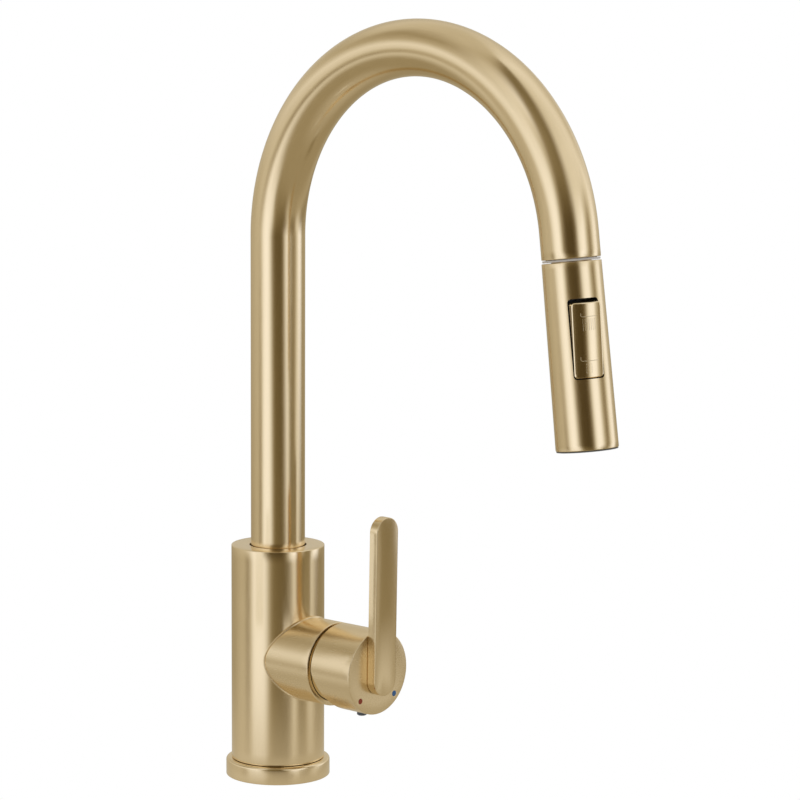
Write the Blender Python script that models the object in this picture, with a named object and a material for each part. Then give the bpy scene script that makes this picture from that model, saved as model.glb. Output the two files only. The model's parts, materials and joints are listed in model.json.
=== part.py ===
"""Pull-down kitchen faucet: one hole, one lever, high arc, two-function spray head.

Frame: the origin is the centre of the flange's underside, where it stands on the deck.
+Z is up, and the spout and the lever point towards -Y. Lengths are metres.

Three local frames carry the pieces that don't stand on the column's axis:
  valve axis   local +Z runs out of the side housing (world -Y), local +Y is up
  lift pivot   the same directions, with its origin on the stem's pivot pin
  spray axis   local -Z runs out of the spout along the spray head, local -Y is the front
"""
from math import asin, cos, pi, radians, sin, sqrt, tan

import bmesh
import bpy
from mathutils import Matrix, Vector

MM = 0.001
GAP = 0.3 * MM                      # clearance between pieces that touch

# Deck flange and body
FLANGE_R = 28.0 * MM
FLANGE_H = 9.3 * MM
FLANGE_EDGE_R = 2.3 * MM
GASKET_IN_R = 21.0 * MM
GASKET_OUT_R = 25.5 * MM
GASKET_H = 1.5 * MM
SHANK_R = 16.0 * MM
SHANK_BORE_R = 12.6 * MM
SHANK_BOTTOM = -55.0 * MM
DECK_THICKNESS = 30.0 * MM          # worktop between the flange and the washers
RUBBER_WASHER_R = 26.0 * MM
RUBBER_WASHER_H = 3.0 * MM
STEEL_WASHER_R = 25.0 * MM
STEEL_WASHER_H = 1.5 * MM
NUT_FLANGE_R = 24.0 * MM
NUT_FLANGE_H = 3.0 * MM
NUT_HEX_R = 22.5 * MM               # to the hexagon's corners
NUT_H = 11.0 * MM
BODY_R = 25.0 * MM
BODY_TOP = 125.9 * MM
BODY_FLOOR_TOP = 16.0 * MM
BODY_BORE_R = 21.4 * MM
NECK_BOTTOM = 84.5 * MM             # the bore narrows here to guide the spout
NECK_BORE_R = 17.9 * MM
LIP_BORE_R = 15.3 * MM
LIP_H = 3.0 * MM

# Spout: a column, an arc and a short straight outlet
TUBE_R = 14.5 * MM
TUBE_BORE_R = 12.9 * MM
TUBE_BOTTOM = 89.0 * MM
BUSH_H = 9.5 * MM                   # each of the two glide bushes in the neck
LOWER_BUSH_BOTTOM = 91.0 * MM
RETAINER_R = 16.8 * MM
RETAINER_BOTTOM = 104.0 * MM
RETAINER_H = 2.0 * MM
ARC_CENTRE_Z = 292.3 * MM
ARC_R = 100.1 * MM
ARC_ANGLE = radians(172.8)
OUTLET_LENGTH = 12.6 * MM

# Valve in the side housing. Distances are from the column's axis.
VALVE_Z = 66.85 * MM
HOUSING_R = 22.3 * MM
HOUSING_BORE_R = 19.9 * MM
HOUSING_FRONT = 43.9 * MM
SEAM_BEAD = 0.6 * MM                # how far the bead along the column stands proud
VALVE_R = 19.4 * MM
VALVE_BORE_R = 17.6 * MM
VALVE_BACK = 8.0 * MM
VALVE_SEAT = 13.0 * MM
VALVE_FRONT = 43.0 * MM
PORT_R = 4.4 * MM
PORT_BORE_R = 3.0 * MM
PORT_BOTTOM = 36.0 * MM
PORT_PLACES = (                     # across, outwards, and the boss's top over the axis
    ("hot_port", -9.5 * MM, 13.0 * MM, -16.9 * MM),
    ("outlet_port", 0.0, 16.0 * MM, -18.5 * MM),
    ("cold_port", 9.5 * MM, 13.0 * MM, -16.9 * MM))
PORT_CIRCLE_R = 8.0 * MM            # the cartridge's three water ways
WAY_R = 2.6 * MM
SEAL_R = 15.0 * MM
SEAL_H = 1.5 * MM
CARTRIDGE_R = 17.2 * MM
CARTRIDGE_BORE_R = 14.9 * MM
CARTRIDGE_BACK = 15.1 * MM
CARTRIDGE_BASE = 17.1 * MM          # floor of the case
CARTRIDGE_LIP = 36.0 * MM
CARTRIDGE_FRONT = 38.0 * MM
FIXED_DISC_H = 3.6 * MM
DISC_R = 12.0 * MM
MOVING_DISC_BACK = 21.3 * MM
MOVING_DISC_H = 3.0 * MM
MIXING_POCKET_R = 5.0 * MM
MIXING_POCKET_H = 1.6 * MM
CARRIER_BACK = 24.6 * MM
CARRIER_FRONT = 30.0 * MM
BALL_SOCKET_R = 2.95 * MM
BALL_SOCKET_FLOOR = 26.0 * MM
TURRET_BACK = 30.3 * MM
TURRET_STEP = 35.6 * MM
TURRET_FRONT = 42.5 * MM
TURRET_R = 14.5 * MM
TURRET_NECK_R = 13.0 * MM
PIVOT_OUT = 34.5 * MM               # the stem's pivot pin
STEM_R = 3.9 * MM
STEM_TIP = 5.6 * MM                 # from the pivot pin back to the ball's centre
STEM_BALL_R = 2.6 * MM
STEM_NECK_R = 1.9 * MM
LIFT_MAX = radians(22.0)
DOME_R = 23.2 * MM                  # trim dome, centred on the pivot pin
DOME_SKIRT_R = 19.6 * MM
DOME_MOUTH_R = 15.0 * MM
DOME_WALL = 1.4 * MM

# Handle
CAP_R = 22.3 * MM
CAP_BORE_R = 20.6 * MM
CAP_BACK = 46.3 * MM
CAP_FACE = 73.8 * MM
CAP_PLATE = 3.3 * MM
BOSS_R = 8.0 * MM
BOSS_BACK = 58.5 * MM
SCREW_OUT = 62.5 * MM               # set screw, from the column's axis
SCREW_R = 1.7 * MM
PLUG_R = 2.6 * MM
PLUG_PROUD = 2.3 * MM
HANDLE_LEAN = radians(0.9)
LEVER_W = 16.0 * MM
LEVER_T = 5.5 * MM
LEVER_TOP_Z = 150.1 * MM
LEVER_BOTTOM_Z = 55.4 * MM
DOT_X = 12.9 * MM
DOT_Z = 53.6 * MM
DOT_R = 1.5 * MM
DOT_DEPTH = 0.5 * MM
DOT_PROUD = 0.1 * MM

# Spray head. Distances s run along its axis from the end of the spout's tube.
HEAD_TOP = 2.2 * MM
HEAD_BOTTOM = 92.7 * MM
HEAD_TOP_R = 14.62 * MM
HEAD_BOTTOM_R = 15.45 * MM
HEAD_WALL = 1.6 * MM
CORE_R = 12.4 * MM
CORE_BOTTOM = 81.0 * MM
CORE_FLAT = 5.0 * MM                # the core's flat under the rocker
CORE_SHOULDER = 9.0 * MM
CORE_GROOVE = 70.0 * MM             # middle of the O-ring's groove
CORE_GROOVE_HALF_H = 1.2 * MM
CORE_GROOVE_DEPTH = 1.6 * MM
INLET_R = 7.7 * MM
INLET_TOP = 0.5 * MM
CHECK_VALVE_R = 5.2 * MM
DOCK_RIM_R = 14.2 * MM              # white rim between the spout and the spray head
DOCK_RIM_BOTTOM = 1.3 * MM
DOCK_DEPTH = 12.0 * MM
COUPLING_R = 9.8 * MM
HOSE_R = 6.5 * MM
HOSE_TAIL = -70.0 * MM              # lower end of the hose, below the shank
HOSE_END_GAP = 3.0 * MM             # from the hose's upper end to the end of the spout's tube
HOSE_COLUMN_POINTS = 14
HOSE_ARC_POINTS = 14
COUPLING_UP = 14.0 * MM             # how far the coupling reaches into the spout
COUPLING_DOWN = 8.0 * MM
FACE = 93.2 * MM                    # spray face
FACE_BACK = 90.8 * MM
FACE_R = 13.4 * MM
FACE_SKIRT_BACK = 83.0 * MM
FACE_SKIRT_BORE_R = 12.2 * MM
FACE_CENTRE_R = 6.6 * MM
AERATOR_R = 6.2 * MM
AERATOR_BACK = 84.0 * MM
JET_R = 1.1 * MM
JET_RING_R = 3.4 * MM
MEMBRANE_IN_R = 7.4 * MM
MEMBRANE_OUT_R = 11.8 * MM
MEMBRANE_H = 1.6 * MM
NOZZLE_RING_R = 10.0 * MM
NOZZLE_COUNT = 12
NOZZLE_R = 1.0 * MM
NOZZLE_PROUD = 0.6 * MM

# Rocker in the spray head. n is the distance from the head's axis.
ROCKER_TURN = radians(-33.3)        # from the front, about the head's local Z
RECESS_TOP = 19.5 * MM
RECESS_BOTTOM = 58.5 * MM
RECESS_W = 15.5 * MM
RECESS_CORNER_R = 1.8 * MM
ROCKER_S = (RECESS_TOP + RECESS_BOTTOM) / 2
ROCKER_N = 10.45 * MM
ROCKER_FACE = 7.0 * MM              # from the pin to the face
ROCKER_HALF_L = 18.3 * MM
ROCKER_HALF_W = 7.35 * MM
ROCKER_WALL = 1.45 * MM
ROCKER_CORNER_R = 1.6 * MM
ROCKER_REST = radians(6.9)          # its lower end is pressed in
ROCKER_FLOOR = 2.0 * MM             # open back of the hollow rocker, behind the pin
ROCKER_PLATE = 3.2 * MM
FINGER_HALF_W = 1.4 * MM
FINGER_ROOT_HALF_L = 2.6 * MM
FINGER_TIP_HALF_L = 1.2 * MM
FINGER_TIP = 8.0 * MM
EAR_IN = 2.6 * MM                   # ears on the core that carry the pin
EAR_OUT = 4.4 * MM
EAR_HALF_L = 2.6 * MM
CHANNEL_HALF_W = 2.3 * MM           # channel of the diverter slide
CHANNEL_TOP = 29.0 * MM
CHANNEL_BOTTOM = 50.0 * MM
CHANNEL_FLOOR = 1.5 * MM
SLIDE_HALF_W = 2.0 * MM
SLIDE_HALF_L = 5.5 * MM
SLIDE_FACE = 4.8 * MM
SLIDE_BACK = 1.8 * MM
NOTCH_HALF_L = 1.75 * MM
NOTCH_FLOOR = 2.1 * MM
FINGER_MESH_N = 3.4 * MM            # where the finger drives the slide
PIN_R = 1.2 * MM
PIN_HOLE_R = 1.5 * MM

FINE = 36                           # sides of the large round pieces
ROUND = 24
MEDIUM = 20
SMALL = 12
TINY = 8

GOLD = ("brushed_gold", (0.66, 0.50, 0.29), 0.3, 1.0)
BRASS = ("raw_brass", (0.72, 0.53, 0.26), 0.35, 1.0)
STEEL = ("stainless_steel", (0.58, 0.58, 0.58), 0.35, 1.0)
WHITE = ("white_acetal", (0.85, 0.85, 0.83), 0.45, 0.0)
GREY = ("grey_plastic", (0.30, 0.31, 0.32), 0.5, 0.0)
CERAMIC = ("ceramic", (0.80, 0.79, 0.76), 0.2, 0.0)
RUBBER = ("black_rubber", (0.03, 0.03, 0.03), 0.8, 0.0)
SILICONE = ("grey_silicone", (0.20, 0.21, 0.22), 0.6, 0.0)
BRAID = ("nylon_braid", (0.12, 0.12, 0.13), 0.7, 0.0)
SLATE = ("slate_plug", (0.22, 0.25, 0.30), 0.5, 0.0)
RED = ("red_enamel", (0.45, 0.04, 0.02), 0.35, 0.0)
BLUE = ("blue_enamel", (0.02, 0.12, 0.42), 0.35, 0.0)


# ---------------------------------------------------------------- helpers

def clear_scene():
    """Remove every object that the start-up file holds."""
    for old in list(bpy.data.objects):
        bpy.data.objects.remove(old, do_unlink=True)


def give_material(obj, look):
    """Give a piece its own Principled BSDF material."""
    label, colour, roughness, metallic = look
    material = bpy.data.materials.new(f"{obj.name}_{label}")
    material.use_nodes = True
    shader = material.node_tree.nodes["Principled BSDF"]
    shader.inputs["Base Color"].default_value = (*colour, 1.0)
    shader.inputs["Roughness"].default_value = roughness
    shader.inputs["Metallic"].default_value = metallic
    material.diffuse_color = (*colour, 1.0)
    obj.data.materials.append(material)


def add_object(name, bm, look=None, parent=None):
    """Turn a bmesh into a named object, smooth where it is round."""
    bmesh.ops.remove_doubles(bm, verts=bm.verts, dist=1e-6)
    bmesh.ops.recalc_face_normals(bm, faces=bm.faces)
    mesh = bpy.data.meshes.new(name)
    bm.to_mesh(mesh)
    bm.free()
    mesh.shade_smooth()
    mesh.set_sharp_from_angle(angle=radians(35))
    obj = bpy.data.objects.new(name, mesh)
    bpy.context.collection.objects.link(obj)
    obj.parent = parent
    if look:
        give_material(obj, look)
    return obj


def add_empty(name, location, rotation=(0.0, 0.0, 0.0), parent=None):
    """Place an empty that carries a local frame."""
    empty = bpy.data.objects.new(name, None)
    bpy.context.collection.objects.link(empty)
    empty.location = location
    empty.rotation_euler = rotation
    empty.empty_display_size = 0.01
    empty.parent = parent
    return empty


def spin_profile(bm, profile, sides):
    """Spin (radius, height) points about Z. A profile off the axis is closed into a ring."""
    verts = [bm.verts.new((r, 0.0, z)) for r, z in profile]
    edges = [bm.edges.new(pair) for pair in zip(verts, verts[1:])]
    if profile[0][0] > 0:
        edges.append(bm.edges.new((verts[-1], verts[0])))
    bmesh.ops.spin(bm, geom=verts + edges, cent=(0, 0, 0), axis=(0, 0, 1), angle=2 * pi,
                   steps=sides, use_duplicate=False)


def turned(name, profile, sides, look, parent=None):
    """A turned piece about its frame's Z axis."""
    bm = bmesh.new()
    spin_profile(bm, profile, sides)
    return add_object(name, bm, look, parent)


def cylinder(bm, radius, low, high, sides, matrix=None):
    """Add a closed cylinder along local Z from low to high."""
    place = Matrix.Translation((0, 0, (low + high) / 2))
    if matrix:
        place = matrix @ place
    bmesh.ops.create_cone(bm, cap_ends=True, segments=sides, radius1=radius,
                          radius2=radius, depth=high - low, matrix=place)


def box(bm, low, high, matrix=None):
    """Add a closed box between two corners."""
    low, high = Vector(low), Vector(high)
    place = Matrix.Translation((low + high) / 2) @ Matrix.Diagonal((*(high - low), 1.0))
    if matrix:
        place = matrix @ place
    bmesh.ops.create_cube(bm, size=1.0, matrix=place)


def combine(obj, operation, bm, label):
    """Join or cut a piece with a hidden guide solid in the same frame."""
    guide = add_object(f"{obj.name}_{label}", bm, None, obj.parent)
    guide.hide_render = True
    guide.display_type = "WIRE"
    modifier = obj.modifiers.new(label, "BOOLEAN")
    modifier.operation = operation
    modifier.object = guide


def cut(obj, bm, label):
    combine(obj, "DIFFERENCE", bm, label)


def join(obj, bm, label):
    combine(obj, "UNION", bm, label)


def quarter_arc(centre_r, centre_z, radius, start, end, steps):
    """Profile points along an arc, angles in degrees from the outward direction."""
    angles = [radians(start + (end - start) * k / steps) for k in range(steps + 1)]
    return [(centre_r + radius * cos(a), centre_z + radius * sin(a)) for a in angles]


def ring_profile(inner, outer, low, high):
    """A plain square-section ring."""
    return [(inner, low), (outer, low), (outer, high), (inner, high)]


def torus_profile(ring_radius, section, height, points=6):
    """A round-section ring such as an O-ring."""
    angles = [2 * pi * k / points for k in range(points)]
    return [(ring_radius + section * cos(a), height + section * sin(a)) for a in angles]


def circle_places(count, radius, start=0.0):
    """Even places around a circle, as (x, y)."""
    angles = [start + 2 * pi * k / count for k in range(count)]
    return [(radius * cos(a), radius * sin(a)) for a in angles]


def along_x(x=0.0, y=0.0, z=0.0):
    """Matrix that lays a local Z cylinder along X."""
    return Matrix.Translation((x, y, z)) @ Matrix.Rotation(pi / 2, 4, "Y")


def along_y(x=0.0, y=0.0, z=0.0):
    """Matrix that lays a local Z cylinder along Y."""
    return Matrix.Translation((x, y, z)) @ Matrix.Rotation(-pi / 2, 4, "X")


# ---------------------------------------------------------------- deck side

def make_flange():
    """Round-edged foot ring with a groove for the gasket in its underside."""
    edge = quarter_arc(FLANGE_R - FLANGE_EDGE_R, FLANGE_H - FLANGE_EDGE_R,
                       FLANGE_EDGE_R, 0, 90, 3)
    bore = SHANK_R + 2 * GAP
    groove_in, groove_out, groove_top = GASKET_IN_R - GAP, GASKET_OUT_R + GAP, GASKET_H + GAP
    profile = [(bore, 0.0), (groove_in, 0.0), (groove_in, groove_top), (groove_out, groove_top),
               (groove_out, 0.0), (FLANGE_R, 0.0), *edge, (bore, FLANGE_H)]
    turned("base_flange", profile, FINE, GOLD)
    turned("base_gasket", ring_profile(GASKET_IN_R, GASKET_OUT_R, 0.0, GASKET_H), FINE, RUBBER)


def make_shank():
    """Threaded shank that clamps the faucet to the deck from below."""
    chamfer = 1.0 * MM
    profile = [(SHANK_BORE_R, SHANK_BOTTOM), (SHANK_R - chamfer, SHANK_BOTTOM),
               (SHANK_R, SHANK_BOTTOM + chamfer), (SHANK_R, BODY_FLOOR_TOP - GAP),
               (SHANK_BORE_R, BODY_FLOOR_TOP - GAP)]
    turned("mounting_shank", profile, ROUND, BRASS)


def make_deck_clamp():
    """Rubber washer, steel washer and nut under the deck."""
    bore = SHANK_R + 0.5 * MM
    rubber_top = -DECK_THICKNESS - GAP
    steel_top = rubber_top - RUBBER_WASHER_H - GAP
    nut_top = steel_top - STEEL_WASHER_H - GAP
    turned("deck_rubber_washer",
           ring_profile(bore, RUBBER_WASHER_R, rubber_top - RUBBER_WASHER_H, rubber_top),
           ROUND, RUBBER)
    turned("deck_steel_washer",
           ring_profile(bore, STEEL_WASHER_R, steel_top - STEEL_WASHER_H, steel_top),
           ROUND, STEEL)
    nut = turned("mounting_nut",
                 ring_profile(bore, NUT_FLANGE_R, nut_top - NUT_FLANGE_H, nut_top), ROUND, BRASS)
    hexagon = bmesh.new()
    cylinder(hexagon, NUT_HEX_R, nut_top - NUT_H, nut_top - NUT_FLANGE_H + MM, 6)
    join(nut, hexagon, "hexagon")
    bore_tool = bmesh.new()
    cylinder(bore_tool, bore, nut_top - NUT_H - MM, nut_top + MM, ROUND)
    cut(nut, bore_tool, "bore")


# ---------------------------------------------------------------- body

def make_body():
    """Column shell: threaded floor, wide valve chamber, guide neck and lip."""
    chamfer = 0.5 * MM
    floor_bore = SHANK_R + GAP
    bottom = FLANGE_H + GAP
    profile = [(floor_bore, bottom), (BODY_R, bottom), (BODY_R, BODY_TOP - chamfer),
               (BODY_R - chamfer, BODY_TOP), (LIP_BORE_R, BODY_TOP),
               (LIP_BORE_R, BODY_TOP - LIP_H), (NECK_BORE_R, BODY_TOP - LIP_H),
               (NECK_BORE_R, NECK_BOTTOM), (BODY_BORE_R, NECK_BOTTOM),
               (BODY_BORE_R, BODY_FLOOR_TOP), (floor_bore, BODY_FLOOR_TOP)]
    body = turned("body_shell", profile, FINE, GOLD)
    opening = bmesh.new()
    cylinder(opening, VALVE_R + GAP, VALVE_BACK - 2 * MM, VALVE_FRONT, FINE, valve_matrix())
    cut(body, opening, "valve_opening")


def valve_matrix():
    """Matrix from the valve frame to the world."""
    return Matrix.Translation((0, 0, VALVE_Z)) @ Matrix.Rotation(pi / 2, 4, "X")


def make_side_housing(frame):
    """Short tube from the column to the handle, saddled on the column with a bead."""
    chamfer = 0.6 * MM
    back = VALVE_BACK
    profile = [(HOUSING_BORE_R, back), (HOUSING_R, back), (HOUSING_R, HOUSING_FRONT - chamfer),
               (HOUSING_R - chamfer, HOUSING_FRONT), (HOUSING_BORE_R, HOUSING_FRONT)]
    housing = turned("side_housing", profile, FINE, GOLD, frame)
    bead = bmesh.new()
    saddle_ring(bead, HOUSING_R - SEAM_BEAD, HOUSING_R + SEAM_BEAD, BODY_R, 2 * SEAM_BEAD)
    join(housing, bead, "seam_bead")
    column = bmesh.new()
    cylinder(column, BODY_R + GAP, -2 * BODY_R, 2 * BODY_R, 2 * FINE, along_y())
    cut(housing, column, "column")


def saddle_ring(bm, inner, outer, column_r, height):
    """Add a square-section ring that follows an upright column's surface."""
    corners = [(inner, -MM), (outer, -MM), (outer, height), (inner, height)]
    loops = []
    for radius, over in corners:
        places = circle_places(2 * FINE, radius)
        loops.append([bm.verts.new((x, y, sqrt(column_r * column_r - x * x) + over))
                      for x, y in places])
    for first, second in zip(loops, loops[1:] + loops[:1]):
        join_loops(bm, first, second)


def make_valve_body(frame):
    """Brass waterway with the cartridge's seat and three ports underneath."""
    profile = [(0.0, VALVE_BACK), (VALVE_R, VALVE_BACK), (VALVE_R, VALVE_FRONT),
               (VALVE_BORE_R, VALVE_FRONT), (VALVE_BORE_R, VALVE_SEAT), (0.0, VALVE_SEAT)]
    valve = turned("valve_body", profile, FINE, BRASS, frame)
    low = PORT_BOTTOM - VALVE_Z
    for label, x, out, top in PORT_PLACES:
        boss = bmesh.new()
        cylinder(boss, PORT_R, low, top, SMALL, along_y(x, 0.0, out))
        join(valve, boss, label)
        bore = bmesh.new()
        cylinder(bore, PORT_BORE_R, low - MM, top - PORT_BORE_R, SMALL, along_y(x, 0.0, out))
        cut(valve, bore, f"{label}_bore")


def port_holes(radius, low, high):
    """Three through holes on the cartridge's port circle."""
    bm = bmesh.new()
    for x, y in circle_places(3, PORT_CIRCLE_R, pi / 2):
        cylinder(bm, radius, low, high, SMALL, Matrix.Translation((x, y, 0)))
    return bm


def make_cartridge(frame):
    """Fixed half of the cartridge: seal, case and lower ceramic disc."""
    low = VALVE_SEAT + GAP
    high = low + SEAL_H
    seal = turned("cartridge_seal", [(0.0, low), (SEAL_R, low), (SEAL_R, high), (0.0, high)],
                  ROUND, RUBBER, frame)
    cut(seal, port_holes(WAY_R, low - MM, high + MM), "ports")

    back, base, front = CARTRIDGE_BACK, CARTRIDGE_BASE, CARTRIDGE_FRONT
    lip_r = TURRET_NECK_R + 0.4 * MM
    case = turned("cartridge_case",
                  [(0.0, back), (CARTRIDGE_R, back), (CARTRIDGE_R, front), (lip_r, front),
                   (lip_r, CARTRIDGE_LIP), (CARTRIDGE_BORE_R, CARTRIDGE_LIP),
                   (CARTRIDGE_BORE_R, base), (0.0, base)], ROUND, WHITE, frame)
    cut(case, port_holes(WAY_R + 0.2 * MM, back - MM, base + MM), "ports")

    low = base + GAP
    high = low + FIXED_DISC_H
    disc = turned("fixed_ceramic_disc", [(0.0, low), (TURRET_R, low), (TURRET_R, high),
                                         (0.0, high)], ROUND, CERAMIC, frame)
    cut(disc, port_holes(WAY_R, low - MM, high + MM), "ports")

    turned("cartridge_retaining_nut",
           ring_profile(lip_r, VALVE_BORE_R - GAP, front + GAP, VALVE_FRONT), ROUND, BRASS, frame)


def make_moving_discs(frame):
    """Upper ceramic disc and the carrier that the stem's ball pushes."""
    low = MOVING_DISC_BACK
    high, pocket = low + MOVING_DISC_H, low + MIXING_POCKET_H
    turned("moving_ceramic_disc",
           [(0.0, pocket), (MIXING_POCKET_R, pocket), (MIXING_POCKET_R, low), (DISC_R, low),
            (DISC_R, high), (0.0, high)], ROUND, CERAMIC, frame)
    turned("disc_carrier",
           [(0.0, CARRIER_BACK), (DISC_R, CARRIER_BACK), (DISC_R, CARRIER_FRONT),
            (BALL_SOCKET_R, CARRIER_FRONT), (BALL_SOCKET_R, BALL_SOCKET_FLOOR),
            (0.0, BALL_SOCKET_FLOOR)], ROUND, GREY, frame)


def make_turret(frame):
    """Rotating guide of the stem, with its slot and the pivot pin's hole."""
    turret = turned("cartridge_turret",
                    [(0.0, TURRET_BACK), (TURRET_R, TURRET_BACK), (TURRET_R, TURRET_STEP),
                     (TURRET_NECK_R, TURRET_STEP), (TURRET_NECK_R, TURRET_FRONT),
                     (0.0, TURRET_FRONT)], ROUND, GREY, frame)
    slot = bmesh.new()
    half, slot_low, slot_high = STEM_R + 0.4 * MM, -9.2 * MM, 5.0 * MM
    box(slot, (-half, slot_low, TURRET_BACK - MM), (half, slot_high, TURRET_FRONT + MM))
    cut(turret, slot, "stem_slot")
    hole = bmesh.new()
    cylinder(hole, PIN_HOLE_R, -20 * MM, 20 * MM, SMALL, along_x(z=PIVOT_OUT))
    cut(turret, hole, "pin_hole")
    pin = bmesh.new()
    half_pin = TURRET_NECK_R - 1.5 * MM
    cylinder(pin, PIN_R, -half_pin, half_pin, SMALL, along_x(z=PIVOT_OUT))
    add_object("stem_pivot_pin", pin, STEEL, frame)


def make_trim_dome(frame):
    """Dome over the cartridge that shows in the gap behind the cap."""
    inner = DOME_R - DOME_WALL
    back = VALVE_FRONT + 0.4 * MM
    outer_angle = asin(DOME_SKIRT_R / DOME_R)
    mouth_angle = asin(DOME_MOUTH_R / DOME_R)
    angles = [outer_angle + (mouth_angle - outer_angle) * k / 3 for k in range(4)]
    outside = [(DOME_R * sin(a), PIVOT_OUT + DOME_R * cos(a)) for a in angles]
    inside = [(inner * sin(a), PIVOT_OUT + inner * cos(a)) for a in reversed(angles)]
    turned("trim_dome", [(DOME_SKIRT_R, back), *outside, *inside, (inside[-1][0], back)],
           FINE, GOLD, frame)


# ---------------------------------------------------------------- handle

def make_stem(frame):
    """Lever stem with its ball end, built about the pivot pin."""
    ball = [(STEM_BALL_R * sin(a), -STEM_TIP - STEM_BALL_R * cos(a))
            for a in (radians(d) for d in (0, 35, 70, 100, 130))]
    end, chamfer = CAP_FACE - CAP_PLATE - 2.0 * MM - PIVOT_OUT, 0.6 * MM
    neck_end, shaft_start = -2.6 * MM, -1.9 * MM
    profile = [*ball, (STEM_NECK_R, neck_end), (STEM_R, shaft_start), (STEM_R, end - chamfer),
               (STEM_R - chamfer, end), (0.0, end)]
    stem = turned("cartridge_stem", profile, MEDIUM, STEEL, frame)
    hole = bmesh.new()
    cylinder(hole, PIN_HOLE_R, -2 * STEM_R, 2 * STEM_R, SMALL, along_x())
    cut(stem, hole, "pin_hole")


def lean_face(obj, face):
    """Lean the cap's front face outwards towards its top."""
    for vertex in obj.data.vertices:
        if vertex.co.z > face - 0.6 * MM:
            vertex.co.z += vertex.co.y * tan(HANDLE_LEAN)


def make_cap(frame):
    """Handle cap: cup with a stem boss, cut back below so that it can tilt."""
    back, face = CAP_BACK - PIVOT_OUT, CAP_FACE - PIVOT_OUT
    plate, boss_back = face - CAP_PLATE, BOSS_BACK - PIVOT_OUT
    bore_r, edge = STEM_R + GAP, 0.4 * MM
    profile = [(CAP_BORE_R, back), (CAP_R, back), (CAP_R, face - edge), (CAP_R - edge, face),
               (0.0, face)]
    inside = [(0.0, plate - MM), (bore_r, plate - MM), (bore_r, boss_back),
              (BOSS_R, boss_back), (BOSS_R, plate), (CAP_BORE_R, plate)]
    cap = turned("handle_cap", list(reversed(profile)) + list(reversed(inside)), FINE, GOLD, frame)
    lean_face(cap, face)
    wedge = bmesh.new()
    tilt = Matrix.Translation((0, 0, back)) @ Matrix.Rotation(-LIFT_MAX, 4, "X")
    reach = 2 * CAP_R
    box(wedge, (-reach, -reach, -reach), (reach, 0.0, 0.0), tilt)
    cut(cap, wedge, "tilt_relief")
    holes = bmesh.new()
    out = SCREW_OUT - PIVOT_OUT
    cylinder(holes, PLUG_R + GAP, -reach, -CAP_BORE_R + 2 * MM, SMALL, along_y(z=out))
    cylinder(holes, SCREW_R + GAP, -CAP_BORE_R + 3 * MM, -STEM_R / 2, SMALL, along_y(z=out))
    cut(cap, holes, "screw_hole")
    dots = bmesh.new()
    for side in (-1, 1):
        place = Matrix.Translation((side * DOT_X, DOT_Z - VALVE_Z, 0))
        cylinder(dots, DOT_R + GAP, face - MM, face + MM, SMALL, place)
    cut(cap, dots, "dot_recesses")


def make_lever(frame):
    """Flat lever with round ends, standing on the cap's face."""
    half = LEVER_W / 2
    low, high = LEVER_BOTTOM_Z - VALVE_Z, LEVER_TOP_Z - VALVE_Z
    steps = 12
    top = [(half * cos(pi * k / steps), high - half + half * sin(pi * k / steps))
           for k in range(steps + 1)]
    bottom = [(-x, low + high - y) for x, y in top]
    bm = bmesh.new()
    outline = [bm.verts.new((x, y, 0.0)) for x, y in top + bottom]
    slab = bmesh.ops.extrude_face_region(bm, geom=[bm.faces.new(outline)])
    moved = [item for item in slab["geom"] if isinstance(item, bmesh.types.BMVert)]
    bmesh.ops.translate(bm, verts=moved, vec=(0, 0, LEVER_T - GAP))
    lever = add_object("lever", bm, GOLD, frame)
    lever.location = (0, 0, CAP_FACE + GAP - PIVOT_OUT)
    lever.rotation_euler = (HANDLE_LEAN, 0, 0)
    bevel = lever.modifiers.new("edges", "BEVEL")
    bevel.width = 0.5 * MM
    bevel.segments = 1
    bevel.limit_method = "ANGLE"
    bevel.angle_limit = radians(50)


def make_set_screw(frame):
    """Grub screw that holds the cap on the stem, and the plug over it."""
    out = SCREW_OUT - PIVOT_OUT
    screw = bmesh.new()
    cylinder(screw, SCREW_R, -BOSS_R - MM, -STEM_R - GAP, SMALL, along_y(z=out))
    add_object("handle_set_screw", screw, STEEL, frame)
    plug = bmesh.new()
    cylinder(plug, PLUG_R, -CAP_R - PLUG_PROUD, -CAP_BORE_R, SMALL, along_y(z=out))
    add_object("set_screw_plug", plug, SLATE, frame)


def make_dots(frame):
    """Hot and cold marks let into the cap's face."""
    height = DOT_Z - VALVE_Z
    face = CAP_FACE - PIVOT_OUT + height * tan(HANDLE_LEAN)
    for name, side, look in (("hot_mark", -1, RED), ("cold_mark", 1, BLUE)):
        bm = bmesh.new()
        cylinder(bm, DOT_R, face - DOT_DEPTH, face + DOT_PROUD, SMALL,
                 Matrix.Translation((side * DOT_X, height, 0)))
        add_object(name, bm, look, frame)


# ---------------------------------------------------------------- spout

def arc_point(angle):
    """Centre line of the arc, with its direction, in the plane X = 0."""
    y = -ARC_R + ARC_R * cos(angle)
    z = ARC_CENTRE_Z + ARC_R * sin(angle)
    return Vector((0, y, z)), Vector((0, -sin(angle), cos(angle)))


def spout_stations(bottom, column_steps, arc_steps, past_end=0.0):
    """Points and directions along the spout from a height up to its outlet."""
    up = Vector((0, 0, 1))
    stations = [(Vector((0, 0, bottom + (ARC_CENTRE_Z - bottom) * k / column_steps)), up)
                for k in range(column_steps)]
    stations += [arc_point(ARC_ANGLE * k / arc_steps) for k in range(arc_steps + 1)]
    last, heading = stations[-1]
    stations.append((last + heading * (OUTLET_LENGTH + past_end), heading))
    return stations


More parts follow.
